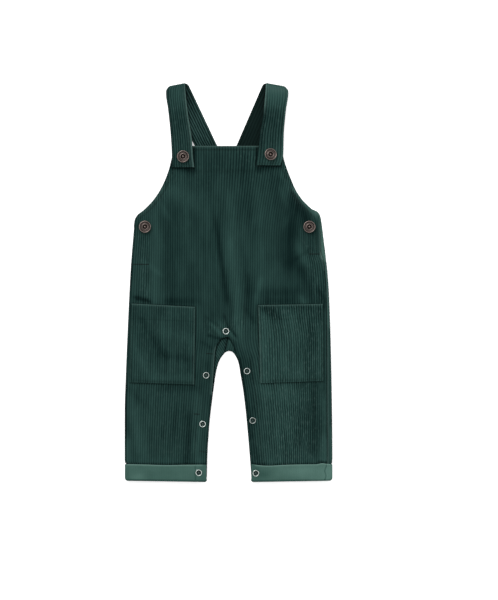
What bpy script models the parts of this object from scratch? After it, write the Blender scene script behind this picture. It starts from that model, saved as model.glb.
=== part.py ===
"""A toddler's corduroy bib overalls, laid flat on their back with the front up.

Numbers are millimetres, and MM turns them into Blender's metres. X runs across the garment (the wearer's
right is -X), Y from the hems to the shoulders, and Z up from the surface that it lies on. The origin is
under the middle of the whole garment. Every panel is a real wall of cloth, and the panels lie on each
other in the order in which they are sewn: back, straps' ends and inseam plackets, front, pockets, cuffs.
"""

import math
from bisect import bisect_right
from collections import namedtuple

import bmesh
import bpy
import numpy as np
from mathutils import Vector

MM = 0.001

# Cloth
CLOTH = 1.4  # ground and the foot of the pile
HALF = CLOTH / 2
WALE = 0.6  # a rib above the groove beside it
GAP = 0.35  # between pieces that touch
WALES_ON_POCKET = 28
WALES_ON_STRAP = 9
STRAP_CORE = 2.0  # a strap is the cloth doubled and pressed
STRAP_HALF = STRAP_CORE / 2 + WALE * 0.8

# Heights along the garment
BIB_TOP = 190.0
UNDERARM = 84.0
OPENING_END = 46.0  # the right side opening is closed from here
SEAM_START = 19.0  # and its back rolled right over to the front from here
LEG_FREE = -246.5  # the legs lie on the surface down to here
LEG_HELD = -253.5  # and on the turn-ups' backs from here
CUFF_TOP = -254.7
LEG_END = -273.5
BACK_TOP = 175.4

# Layers, as heights of the middle of the cloth above the surface
BACK_LAYER = HALF
STACK = CLOTH + GAP  # from one layer of plain cloth to the next
RIBBED_STACK = CLOTH + WALE + GAP  # onto the ribs of the layer below
SIDE_LAYER = 4.25  # the front panel where it meets the side seams
SIDE_ROUND = 2.4  # the front rolls down to the left side seam at this radius
WRAP_ROUND = (SIDE_LAYER - BACK_LAYER) / 2  # the back rolls up and over the right side
OUTER_SKIN = HALF + WALE / 2  # from the middle of the cloth to the outline

PLACKET_WIDTH = 17.0
ARCH_ROUND = 17.0  # the crotch opening's arch, about
BUTTON_DIAMETER = 17.0
BUTTON_HEIGHT = 2.8
SHANK_DIAMETER = 6.0
SHANK_HEIGHT = 0.8
SNAP_DIAMETER = 9.0
SNAP_HOLE = 5.4
SNAP_HEIGHT = 0.9
BUTTON_SIDES = 16
SNAP_SIDES = 12
POCKET_MOUTH_LIFT = 1.6
POCKET_EASE = 0.55  # the pockets stand this much freer of the front than a seam does
CUFF_OUTLINE = 144.8
CUFF_BOTTOM = -279.8
CUFF_SLOPE = 0.0155  # the bottom edges rise a little outward
CUFF_CORNER = 3.0
CUFF_ARC_STEPS = 6
EDGE_RIB = 0.3  # what is left of a wale where the edge is pressed
EDGE_DROP = 0.3  # the turned edges roll down by this much
SHORTEST_ROW = 3.0  # of faces
FAR_BELOW = 60.0  # one column of cloth ends this far below another only at the crotch

Side = namedtuple("Side", "height left right")
Edge = namedtuple("Edge", "height left right")
Fold = namedtuple("Fold", "name x0 y0 x1 y1 width rise")
StrapRow = namedtuple("StrapRow", "height left right")
Spot = namedtuple("Spot", "name x y lean")
PocketCut = namedtuple("PocketCut", "name top_in top_out bottom_in bottom_out")
ShoulderFold = namedtuple("ShoulderFold", "outer_x outer_y inner_x inner_y run_in end_y")
Strip = namedtuple("Strip", "inner_x inner_y outer_x outer_y")
Knot = namedtuple("Knot", "level outer inner")

# The front panel's outer edges: bib, armholes, underarm corners, side openings and side seams.
FRONT_SIDES = [
    Side(190, -74.8, 73.6),
    Side(175, -78.9, 76.2),
    Side(160, -82.4, 80.8),
    Side(145, -88.0, 87.0),
    Side(130, -95.6, 94.0),
    Side(115, -106.0, 104.0),
    Side(102, -117.9, 116.6),
    Side(93, -127.4, 125.0),
    Side(84, -131.8, 127.2),
    Side(70, -132.9, 127.6),
    Side(39, -135.4, 128.3),
    Side(26, -136.3, 132.6),
    Side(4, -137.6, 135.2),
    Side(-19, -138.9, 136.4),
    Side(-92, -142.4, 136.9),
    Side(-141, -143.4, 137.1),
    Side(-212, -144.5, 137.3),
    Side(-246.5, -144.7, 137.3),
    Side(-253.5, -142.4, 136.2),
    Side(-280, -142.4, 136.2),
]
# The back panel's outer edges: top band, armholes and sides. The right side rolls over to the front.
BACK_SIDES = [
    Side(175.4, -45.0, 44.0),
    Side(149, -54.5, 51.5),
    Side(125, -75.0, 71.5),
    Side(110, -98.0, 99.0),
    Side(104, -107.5, 113.5),
    Side(98, -116.5, 124.6),
    Side(92, -124.5, 127.8),
    Side(84, -131.3, 129.7),
    Side(60, -133.2, 132.8),
    Side(39, -134.9, 135.4),
    Side(17, -136.3, 138.1),
    Side(-19, -138.4, 140.3),
    Side(-92, -141.9, 142.7),
    Side(-191, -143.7, 144.0),
    Side(-246.5, -144.2, 144.6),
    Side(-253.5, -140.2, 142.5),
    Side(-280, -140.2, 142.5),
]
# The inside legs, from the crotch to the hems: the front panel's edge, then the fold under it.
FRONT_INSEAM = [
    Edge(-77.0, -3.7, -0.6),
    Edge(-79.0, -10.5, 1.2),
    Edge(-83.0, -13.6, 3.9),
    Edge(-88.0, -16.8, 6.4),
    Edge(-96.0, -19.4, 9.2),
    Edge(-109.0, -20.5, 13.2),
    Edge(-123.0, -21.5, 15.4),
    Edge(-137.0, -22.5, 17.6),
    Edge(-151.0, -23.6, 20.2),
    Edge(-191.0, -27.2, 25.3),
    Edge(-232.0, -30.4, 28.8),
    Edge(-280.0, -31.7, 32.2),
]
BACK_INSEAM = [
    Edge(-95.6, 0.8, 0.8),
    Edge(-96.4, -2.6, 3.9),
    Edge(-98.4, -5.8, 6.6),
    Edge(-102.0, -9.2, 9.2),
    Edge(-107.0, -12.6, 11.7),
    Edge(-113.0, -15.3, 13.9),
    Edge(-120.5, -17.4, 15.4),
    Edge(-130.0, -19.4, 16.8),
    Edge(-146.0, -21.6, 19.6),
    Edge(-158.0, -23.2, 21.4),
    Edge(-191.0, -27.2, 25.5),
    Edge(-232.0, -30.4, 29.0),
    Edge(-280.0, -31.7, 32.4),
]

# Soft folds of the front, each along a line, with its width to one side and its rise. A trough is negative.
FRONT_FOLDS = [
    Fold("left_side_ridge", -91, 98, -95, -26, 7.5, 2.1),
    Fold("left_hollow", -68, 70, -72, -28, 9.0, -0.9),
    Fold("left_belly_ridge", -35, 110, -38, -24, 11.0, 1.8),
    Fold("centre_crease", -18, 84, -2, -48, 4.2, -1.9),
    Fold("centre_ridge", 8, 92, 18, -64, 6.5, 2.2),
    Fold("thigh_crease", 28, 4, 24, -50, 4.0, -1.5),
    Fold("right_belly_ridge", 66, 118, 62, -20, 10.0, 2.5),
    Fold("right_hollow", 97, 104, 94, 8, 8.5, -1.4),
    Fold("crotch_crease", 1, -62, 11, -76, 3.2, -1.2),
    Fold("crotch_ridge", -24, -60, -13, -72, 4.0, 0.8),
    Fold("left_pocket_hollow", -118, -58, -64, -106, 8.0, -0.9),
    Fold("left_shin_ridge", -112, -150, -98, -240, 15.0, 1.5),
    Fold("left_placket_hollow", -57, -182, -54, -244, 5.0, -1.0),
    Fold("right_thigh_ridge", 70, -50, 62, -236, 13.0, 1.6),
    Fold("right_shin_hollow", 120, -140, 121, -238, 7.5, -1.1),
]

# Each strap's front part, from its buttoned end to the shoulder fold.
LEFT_STRAP_FRONT = [
    StrapRow(160.7, -79.2, -48.4),
    StrapRow(175.4, -78.9, -50.3),
    StrapRow(199.2, -80.1, -52.6),
    StrapRow(234.2, -84.3, -57.6),
    StrapRow(271.0, -88.4, -60.4),
]
RIGHT_STRAP_FRONT = [
    StrapRow(163.4, 38.8, 71.9),
    StrapRow(178.2, 40.6, 75.6),
    StrapRow(206.2, 44.6, 77.4),
    StrapRow(234.2, 48.0, 80.0),
    StrapRow(271.0, 50.8, 83.2),
]
# The shoulder folds run from the outer to the inner corner, and the back parts lean in from them.
LEFT_SHOULDER = ShoulderFold(-88.0, 273.4, -59.6, 280.2, 0.483, 163.5)
RIGHT_SHOULDER = ShoulderFold(83.0, 272.4, 50.2, 280.2, -0.443, 163.5)
STRAP_ROUND = 1.9
STRAP_LOW = STRAP_HALF  # the back part lies on the surface
STRAP_ON_BACK = CLOTH + GAP + STRAP_HALF  # and its end on the back panel

BUTTONS = [
    Spot("button_bib_left", -64.0, 175.8, 0),
    Spot("button_bib_right", 58.2, 178.6, 8),
    Spot("button_side_left", -117.5, 77.7, 0),
    Spot("button_side_right", 112.6, 77.7, 0),
]
SNAPS = [
    Spot("snap_crotch", -4.3, -68.5, 0),
    Spot("snap_left_thigh", -32.0, -130.3, 0),
    Spot("snap_left_shin", -36.9, -198.5, 0),
    Spot("snap_left_cuff", -42.2, -266.4, 0),
    Spot("snap_right_thigh", 25.3, -124.3, 0),
    Spot("snap_right_shin", 33.2, -193.6, 0),
    Spot("snap_right_cuff", 37.6, -267.1, 0),
]

# A pocket's corners, (x, y), on its inseam side and its outer side.
POCKETS = [
    PocketCut("pocket_left", (-47.1, -34.4), (-136.2, -29.8), (-48.5, -143.4), (-139.6, -140.3)),
    PocketCut("pocket_right", (40.7, -31.9), (131.6, -30.4), (43.9, -141.4), (132.6, -138.3)),
]

GREEN = (0.014, 0.044, 0.036, 1.0)
WRONG_SIDE_GREEN = (0.052, 0.115, 0.096, 1.0)
BRONZE = (0.095, 0.08, 0.07, 1.0)
NICKEL = (0.72, 0.74, 0.73, 1.0)


# ---------------------------------------------------------------- curves and surfaces


def smooth(value, low, high):
    """0 below low and 1 above high, with an S-curve between."""
    t = min(1.0, max(0.0, (value - low) / (high - low)))
    return t * t * (3 - 2 * t)


def reading(rows, column):
    """A smooth curve through one column of a table, read by height, that never overshoots its rows."""
    pairs = sorted((row.height, getattr(row, column)) for row in rows)
    heights = [height for height, _ in pairs]
    values = [value for _, value in pairs]
    rates = [
        (v1 - v0) / (h1 - h0)
        for h0, h1, v0, v1 in zip(heights, heights[1:], values, values[1:])
    ]
    slopes = [rates[0]]
    slopes += [0.0 if a * b <= 0 else 2 * a * b / (a + b) for a, b in zip(rates, rates[1:])]
    slopes += [rates[-1]]

    def at(height):
        height = min(heights[-1], max(heights[0], height))
        i = min(len(heights) - 2, max(0, bisect_right(heights, height) - 1))
        step = heights[i + 1] - heights[i]
        t = (height - heights[i]) / step
        return (
            values[i] * (1 + 2 * t) * (1 - t) ** 2
            + values[i + 1] * t * t * (3 - 2 * t)
            + step * slopes[i] * t * (1 - t) ** 2
            - step * slopes[i + 1] * t * t * (1 - t)
        )

    return at


front_left = reading(FRONT_SIDES, "left")
front_right = reading(FRONT_SIDES, "right")
back_left = reading(BACK_SIDES, "left")
back_right = reading(BACK_SIDES, "right")
front_inseam_left = reading(FRONT_INSEAM, "left")
front_inseam_right = reading(FRONT_INSEAM, "right")
back_inseam_left = reading(BACK_INSEAM, "left")
back_inseam_right = reading(BACK_INSEAM, "right")


def crossing(room_at, inside, outside):
    """The height between one inside the cloth and one outside it where the room to the edge runs out."""
    if room_at(inside) <= 0:
        return inside
    for _ in range(40):
        middle = (inside + outside) / 2
        if room_at(middle) > 0:
            inside = middle
        else:
            outside = middle
    return inside


def fold_rise(x, y):
    """How far the front's soft folds lift or lower the cloth at a place."""
    total = 0.0
    for fold in FRONT_FOLDS:
        run_x, run_y = fold.x1 - fold.x0, fold.y1 - fold.y0
        length = math.hypot(run_x, run_y)
        share = ((x - fold.x0) * run_x + (y - fold.y0) * run_y) / length**2
        held = min(1.0, max(0.0, share))
        past = abs(share - held) * length
        across = math.hypot(x - fold.x0 - share * run_x, y - fold.y0 - share * run_y)
        total += fold.rise * math.exp(-((across / fold.width) ** 2) - (past / (2 * fold.width)) ** 2)
    return total


def in_cuff(y):
    """1 within the turn-ups, whose backs lift the legs, and 0 above them."""
    return 1 - smooth(y, LEG_HELD, LEG_FREE)


def back_layer(y):
    """Height of the back panel: on the surface, or on the turn-up."""
    return BACK_LAYER + STACK * in_cuff(y)


def inseam_distance(x, y):
    """How far a place is outward of the crotch opening's edge."""
    if y > BACK_INSEAM[0].height:
        return math.hypot(x - BACK_INSEAM[0].left, y - BACK_INSEAM[0].height + ARCH_ROUND) - ARCH_ROUND
    return max(back_inseam_left(y) - x, x - back_inseam_right(y))


def under_front(x, y):
    """Top of what lies under the front panel: the back, the inseam plackets and the straps' ends."""
    top = back_layer(y) + HALF
    on_placket = 1 - smooth(inseam_distance(x, y), PLACKET_WIDTH + 1, PLACKET_WIDTH + 7)
    on_straps = (1 - smooth(abs(x), 52, 68)) * smooth(y, 147, 160)
    return top + STACK * on_placket + (STRAP_ON_BACK + STRAP_HALF + 0.2 - top) * on_straps


def front_layer(x, y):
    """Height of the middle of the front panel, folds included."""
    from_left, from_right = x - front_left(y), front_right(y) - x
    settle = smooth(min(from_left, from_right), 0, 13) * smooth(y, LEG_FREE, LEG_FREE + 20)
    loose = SIDE_LAYER + STACK * in_cuff(y) + fold_rise(x, y) * settle
    return max(loose, under_front(x, y) + GAP + HALF)


def front_top(x, y):
    """Height of the rib tops of the front panel."""
    return front_layer(x, y) + HALF + WALE


# ---------------------------------------------------------------- making the solids


def material(name, colour, roughness, metallic=0.0):
    made = bpy.data.materials.new(name)
    made.use_nodes = True
    shader = made.node_tree.nodes["Principled BSDF"]
    shader.inputs["Base Color"].default_value = colour
    shader.inputs["Roughness"].default_value = roughness
    shader.inputs["Metallic"].default_value = metallic
    made.diffuse_color = colour
    return made


def finished(name, mesh, surface, sharp=50):
    """Adds a finished mesh to the scene as one named piece."""
    mesh.materials.append(surface)
    mesh.shade_smooth()
    mesh.set_sharp_from_angle(angle=math.radians(sharp))
    piece = bpy.data.objects.new(name, mesh)
    bpy.context.scene.collection.objects.link(piece)
    return piece


def facing_up(points):
    """Unit normals of a grid of points, rows by columns."""
    across = np.gradient(points, axis=1)
    along = np.gradient(points, axis=0)
    normals = np.cross(across, along)
    normals /= np.linalg.norm(normals, axis=2, keepdims=True)
    return normals if normals[..., 2].sum() > 0 else -normals


def strip_faces(first, second):
    """Triangles and quads between two columns of knots, each a list of (level, vertex) from the top down.

    Where one column ends far above the other, the other runs on below it as the panel's edge.
    """
    lowest = max(first[-1][0], second[-1][0])
    trimmed = []
    for knots in (first, second):
        past = [i for i, (level, _) in enumerate(knots) if level <= lowest]
        far = knots[-1][0] < lowest - FAR_BELOW
        trimmed.append(knots[: past[0] + 1] if far else knots)
    first, second = trimmed
    i = j = 0
    while i < len(first) - 1 or j < len(second) - 1:
        down_first = first[i + 1][0] if i < len(first) - 1 else -math.inf
        down_second = second[j + 1][0] if j < len(second) - 1 else -math.inf
        both_last = i == len(first) - 2 and j == len(second) - 2
        if both_last or abs(down_first - down_second) < 1e-6:
            yield first[i][1], first[i + 1][1], second[j + 1][1], second[j][1]
            i, j = i + 1, j + 1
        elif down_first > down_second:
            yield first[i][1], first[i + 1][1], second[j][1]
            i += 1
        else:
            yield first[i][1], second[j + 1][1], second[j][1]
            j += 1


def wall_of(name, columns, surface, kept):
    """A closed wall from columns of knots, whose inside keeps only some of the columns."""
    shape = bmesh.new()
    outer, inner, partner = [], [], {}
    for column in columns:
        outer.append([(knot.level, shape.verts.new(knot.outer * MM)) for knot in column])
        inner.append([(knot.level, shape.verts.new(knot.inner * MM)) for knot in column])
        partner.update((a[1], b[1]) for a, b in zip(outer[-1], inner[-1]))
    outside = [
        shape.faces.new(corners)
        for c in range(len(columns) - 1)
        for corners in strip_faces(outer[c], outer[c + 1])
    ]
    for face in outside:
        shape.faces.new([partner[vertex] for vertex in reversed(face.verts)])
    rim = {edge for face in outside for edge in face.edges if len(edge.link_faces) == 1}
    for edge in rim:
        one, other = edge.verts
        shape.faces.new((one, other, partner[other], partner[one]))
    surplus = []
    for c, column in enumerate(inner):
        if c not in kept:
            pairs = zip(column, column[1:])
            surplus += [shape.edges.get((a[1], b[1])) for a, b in pairs]
    bmesh.ops.dissolve_edges(shape, edges=surplus, use_verts=True)
    bmesh.ops.recalc_face_normals(shape, faces=shape.faces)
    bmesh.ops.triangulate(shape, faces=[face for face in shape.faces if len(face.verts) > 4])
    mesh = bpy.data.meshes.new(name)
    shape.to_mesh(mesh)
    shape.free()
    return finished(name, mesh, surface)


def ribbed_wall(name, points, surface, half, rib, ribbed_back=False, plain_step=4):
    """A closed wall of cloth on a grid of points, rows by columns, with a wale on every second column.

    Its other side is plain and has only every plain_step-th column, unless ribbed_back asks for wales.
    """
    points = np.array(points, float)
    rows, columns = points.shape[:2]
    normals = facing_up(points)
    knots = []
    for c in range(columns):
        column = []
        for r in range(rows):
            lift = half + (c % 2) * rib * (EDGE_RIB if r in (0, rows - 1) else 1)
            drop = lift if ribbed_back else half
            outer = points[r, c] + normals[r, c] * lift
            inner = points[r, c] - normals[r, c] * drop
            column.append(Knot(-r, Vector(outer), Vector(inner)))
        knots.append(column)
    step = 1 if ribbed_back else plain_step
    return wall_of(name, knots, surface, {*range(0, columns, step), columns - 1})


def plain_wall(name, points, surface):
    """A sheet on a grid of points, made a wall by Solidify, half to each side of its middle."""
    points = np.array(points, float)
    rows, columns = points.shape[:2]
    faces = [
        (r * columns + c, r * columns + c + 1, (r + 1) * columns + c + 1, (r + 1) * columns + c)
        for r in range(rows - 1)
        for c in range(columns - 1)
    ]
    mesh = bpy.data.meshes.new(name)
    mesh.from_pydata([Vector(p) * MM for p in points.reshape(-1, 3)], [], faces)
    mesh.validate()
    piece = finished(name, mesh, surface)
    wall = piece.modifiers.new("wall", "SOLIDIFY")
    wall.thickness = CLOTH * MM
    wall.offset = 0
    wall.use_even_offset = False
    return piece


def turned(name, profile, surface, segments):
    """A closed profile of (radius, height) pairs, spun round Z."""
    shape = bmesh.new()
    ring = [shape.verts.new((radius * MM, 0, height * MM)) for radius, height in profile]
    edges = [shape.edges.new(pair) for pair in zip(ring, ring[1:] + ring[:1])]
    if profile[0][0] == 0:
        shape.edges.remove(edges.pop())
    bmesh.ops.spin(
        shape,
        geom=ring + edges,
        cent=(0, 0, 0),
        axis=(0, 0, 1),
        angle=2 * math.pi,
        steps=segments,
        use_merge=True,
    )
    bmesh.ops.remove_doubles(shape, verts=shape.verts, dist=1e-6)
    bmesh.ops.recalc_face_normals(shape, faces=shape.faces)
    mesh = bpy.data.meshes.new(name)
    shape.to_mesh(mesh)
    shape.free()
    return finished(name, mesh, surface, sharp=35)


def seat(piece, spot, feet, top_at):
    """Sets a round fastener on the cloth at its spot: level with the cloth there, and just clear of it.

    feet are the (radius, depth) of the circles that it could touch with.
    """
    radius = feet[-1][0]
    slope_x = (top_at(spot.x + radius, spot.y) - top_at(spot.x - radius, spot.y)) / (2 * radius)
    slope_y = (top_at(spot.x, spot.y + radius) - top_at(spot.x, spot.y - radius)) / (2 * radius)
    slope_y -= math.tan(math.radians(spot.lean))
    turns = [k * math.pi / 8 for k in range(16)]
    height = max(
        top_at(spot.x + reach * math.cos(a), spot.y + reach * math.sin(a))
        - reach * (slope_x * math.cos(a) + slope_y * math.sin(a))
        + depth
        for a in turns
        for reach, depth in feet
    )
    normal = Vector((-slope_x, -slope_y, 1)).normalized()
    piece.location = Vector((spot.x, spot.y, height + GAP)) * MM
    piece.rotation_mode = "QUATERNION"
    piece.rotation_quaternion = Vector((0, 0, 1)).rotation_difference(normal)
    return piece


# ---------------------------------------------------------------- the pieces


# How a panel is cut: columns of cloth in the left leg, the crotch, the right leg and past its side, the
# edges as if there were no armholes, the armholes, the inside legs with the height where they part, the
# top edge, the heights of the rows, and how flat cloth lies: a function of a place on it.
Pattern = namedtuple(
    "Pattern",
    "counts left right past armhole_left armhole_right inseam parting top levels lie rib kept_step",
)


def panel(name, pattern, surface):
    """A panel cut across its wales by armholes and crotch, with the wales running down both legs."""
    inner_left, inner_right = reading(pattern.inseam, "left"), reading(pattern.inseam, "right")
    ends = np.cumsum((0,) + pattern.counts)
    last = int(ends[-1])
    left, right = pattern.left(pattern.parting), pattern.right(pattern.parting)
    share_left = (inner_left(pattern.parting) - left) / (right - left)
    share_right = (inner_right(pattern.parting) - left) / (right - left)

    def flat_x(column, y):
        left, right = pattern.left(y), pattern.right(y)
        if y > pattern.parting:
            inner = left + (right - left) * share_left, left + (right - left) * share_right
        else:
            inner = inner_left(y), inner_right(y)
        seams = (left, *inner, right, right + pattern.past(y))
        return float(np.interp(column, ends, seams[: len(ends)]))

    def place(column, y):
        return Vector(pattern.lie(flat_x(column, y), y))

    columns = []
    for c in range(last + 1):

        def top_room(y):
            return min(flat_x(c, y) - pattern.armhole_left(y), pattern.armhole_right(y) - flat_x(c, y))

        def arch_room(y):
            return max(inner_left(y) - flat_x(c, y), flat_x(c, y) - inner_right(y))

        start = pattern.top if top_room(pattern.top) > 0 else crossing(top_room, UNDERARM, pattern.top)
        end = LEG_END
        if ends[1] < c < ends[2]:
            arch = pattern.inseam[0].height
            end = arch if arch_room(arch) <= 0 else crossing(lambda y: -arch_room(y), pattern.parting, arch)
        heights = [y for y in pattern.levels if end + SHORTEST_ROW < y < start - SHORTEST_ROW]
        column = []
        for y in (start, *heights, end):
            across = place(min(c + 0.5, last), y) - place(max(c - 0.5, 0), y)
            normal = across.cross(place(c, y + 1) - place(c, y - 1)).normalized()
            on_edge = y in (start, end)
            middle = place(c, y) - normal * (EDGE_DROP if y == start and pattern.rib else 0)
            crest = (c % 2) * pattern.rib * (EDGE_RIB if on_edge else 1)
            column.append(Knot(y, middle + normal * (HALF + crest), middle - normal * HALF))
        columns.append(column)
    beside = {int(end) + step for end in ends[1:3] for step in (-1, 0, 1)}
    kept = {*range(0, last, pattern.kept_step), last} | beside
    return wall_of(name, columns, surface, kept)


SIDE_SLACK = SIDE_ROUND * (math.pi / 2 - 1)  # flat cloth that the left side's roll takes up
LEG_LEVELS = (0, -45, -96, -142, -192, LEG_FREE, LEG_HELD)


def front_lie(flat_x, y):
    """Where the front's flat cloth comes to lie: on its folds, and rolled down at the left side seam."""
    edge = front_left(min(y, UNDERARM)) + OUTER_SKIN
    turn = max(0.0, (edge + SIDE_ROUND - flat_x) / SIDE_ROUND)
    x = edge + SIDE_ROUND * (1 - math.sin(turn)) if turn else flat_x
    return x, y, front_layer(x, y) - SIDE_ROUND * (1 - math.cos(turn))


FRONT = Pattern(
    counts=(73, 17, 76),
    left=lambda y: front_left(min(y, UNDERARM)) + OUTER_SKIN - SIDE_SLACK,
    right=lambda y: front_right(min(y, UNDERARM)),
    past=lambda y: 0,
    armhole_left=front_left,
    armhole_right=front_right,
    inseam=FRONT_INSEAM,
    parting=-96.0,
    top=BIB_TOP,
    levels=(161, 146, 112, 78, 42, SEAM_START, *LEG_LEVELS),
    lie=front_lie,
    rib=WALE,
    kept_step=4,
)


def back_fold(y):
    """Where the back's right side starts to roll up, how much cloth lies past there, and how closed it is.

    Above the side opening's bar the edge lies flat on the surface.
    """
    y = min(y, UNDERARM)
    flat_end = back_right(y) - OUTER_SKIN - WRAP_ROUND
    closed = smooth(-y, -OPENING_END, -SEAM_START)
    open_past = OUTER_SKIN + WRAP_ROUND
    closed_past = WRAP_ROUND * math.pi + flat_end - (front_right(y) + GAP)
    return flat_end, open_past + (closed_past - open_past) * closed**2, closed


def back_lie(flat_x, y):
    """Where the back's flat cloth comes to lie: on the surface, and up over the right side to the seam."""
    flat_end, _, closed = back_fold(y)
    height = back_layer(y)
    past = flat_x - flat_end
    if past <= 0:
        return flat_x, y, height
    full_turn = math.pi * closed
    turn = min(past / WRAP_ROUND, full_turn)
    beyond = past - turn * WRAP_ROUND
    x = flat_end + WRAP_ROUND * math.sin(turn) + beyond * math.cos(full_turn)
    return x, y, height + WRAP_ROUND * (1 - math.cos(turn)) + beyond * math.sin(full_turn)


BACK = Pattern(
    counts=(8, 8, 8, 7),
    left=lambda y: back_left(min(y, UNDERARM)),
    right=lambda y: back_fold(y)[0],
    past=lambda y: back_fold(y)[1],
    armhole_left=back_left,
    armhole_right=back_right,
    inseam=BACK_INSEAM,
    parting=-113.0,
    top=BACK_TOP,
    levels=(150, 128, 106, 78, OPENING_END, 37, 28, SEAM_START, *LEG_LEVELS),
    lie=back_lie,
    rib=0.0,
    kept_step=1,
)


# The plackets meet at the crotch on a slant, and the right one comes over the arch.
LEFT_CROTCH = [Strip(-6.1, -98.6, -1.7, -81.4), Strip(-8.2, -100.9, -12.5, -85.0)]
RIGHT_CROTCH = [
    Strip(-5.6, -98.2, -1.3, -81.2),
    Strip(-2.6, -96.4, 0.8, -79.8),
    Strip(0.8, -95.6, 3.6, -79.2),
    Strip(3.9, -96.4, 9.0, -80.6),
    Strip(6.6, -98.4, 15.0, -83.8),
    Strip(9.2, -102.0, 20.6, -89.6),
]
PLACKET_ROWS = (-108, -116, -128, -146, -170, -200, LEG_FREE, LEG_HELD, LEG_END)


def placket(name, edge_at, side, crotch, surface):
    """The strip that finishes the back's inside leg and lies under the front's snaps."""
    strips = list(crotch)
    for y in PLACKET_ROWS:
        run = edge_at(y + 1) - edge_at(y - 1)
        outward = Vector((2, -run)).normalized() * side * PLACKET_WIDTH
        straight = smooth(-y, 150, 220)
        outer_y = y + outward.y * (1 - straight)
        strips.append(Strip(edge_at(y), y, edge_at(y) + outward.x, outer_y))
    grid = [
        [
            (inner_x + (outer_x - inner_x) * share, inner_y + (outer_y - inner_y) * share)
            for share in (0, 0.5, 1)
        ]
        for inner_x, inner_y, outer_x, outer_y in strips
    ]
    return plain_wall(name, [[(x, y, back_layer(y) + STACK) for x, y in line] for line in grid], surface)


def strap(name, rows, shoulder, surface, ribbed_back):
    """A doubled strap: buttoned end, shoulder fold, and the back part down to the back's top band."""
    left_at, right_at = reading(rows, "left"), reading(rows, "right")
    outward = -1 if shoulder.outer_x < 0 else 1
    columns = 2 * WALES_ON_STRAP + 1
    fold_way = Vector((shoulder.inner_x - shoulder.outer_x, shoulder.inner_y - shoulder.outer_y))
    fold_way.normalize()
    beyond = Vector((-fold_way.y, fold_way.x))
    if beyond.y < 0:
        beyond = -beyond
    reach = STRAP_ROUND + STRAP_HALF
    high = STRAP_LOW + 2 * STRAP_ROUND
    grid = []

    def fold_place(share):
        x = shoulder.outer_x + share * (shoulder.inner_x - shoulder.outer_x)
        y = shoulder.outer_y + share * (shoulder.inner_y - shoulder.outer_y)
        return Vector((x, y)) - beyond * reach

    shares = [c / (columns - 1) for c in range(columns)]
    for part in (0.0, 0.12, 0.24, 0.36, 0.52, 0.76, 1.0):
        line = []
        for share in shares:
            end = fold_place(share)
            y = rows[0].height + (end.y - rows[0].height) * part
            outer, inner = (left_at(y), right_at(y)) if outward < 0 else (right_at(y), left_at(y))
            x = outer + share * (inner - outer)
            x += (end.x - x) * smooth(part, 0.76, 1.0)
            on_bib = front_top(x, min(y, BIB_TOP)) + GAP + STRAP_HALF
            line.append((x, y, on_bib + (high - on_bib) * smooth(y, BIB_TOP + 3, 258)))
        grid.append(line)
    for step in range(1, 6):
        turn = math.pi * step / 6
        line = []
        for share in shares:
            place = fold_place(share) + beyond * (STRAP_ROUND * math.sin(turn))
            line.append((place.x, place.y, STRAP_LOW + STRAP_ROUND * (1 + math.cos(turn))))
        grid.append(line)
    for part in (0.0, 0.4, 0.72, 0.79, 0.86, 1.0):
        line = []
        for share in shares:
            start = fold_place(share)
            y = start.y + (shoulder.end_y - start.y) * part
            x = start.x + (start.y - y) * shoulder.run_in
            lift = 1 - smooth(y, BACK_TOP + 3, BACK_TOP + 22)
            line.append((x, y, STRAP_LOW + (STRAP_ON_BACK - STRAP_LOW) * lift))
        grid.append(line)
    return ribbed_wall(name, grid, surface, STRAP_CORE / 2, WALE * 0.8, ribbed_back, plain_step=3)


def pocket(cut, surface):
    """A patch pocket, sewn on at the sides and bottom, its mouth standing a little open."""
    columns = 2 * WALES_ON_POCKET + 1
    grid = []
    for down in (0.0, 0.03, 0.14, 0.32, 0.55, 0.78, 1.0):
        line = []
        for c in range(columns):
            share = c / (columns - 1)
            top = [a + (b - a) * share for a, b in zip(cut.top_in, cut.top_out)]
            bottom = [a + (b - a) * share for a, b in zip(cut.bottom_in, cut.bottom_out)]
            x, y = (a + (b - a) * down for a, b in zip(top, bottom))
            open_by = POCKET_MOUTH_LIFT * math.sin(math.pi * share) ** 0.7 * (1 - smooth(down, 0.0, 0.4))
            line.append((x, y, front_layer(x, y) + RIBBED_STACK + POCKET_EASE + open_by))
        grid.append(line)
    return ribbed_wall(cut.name, grid, surface, HALF, WALE)


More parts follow.
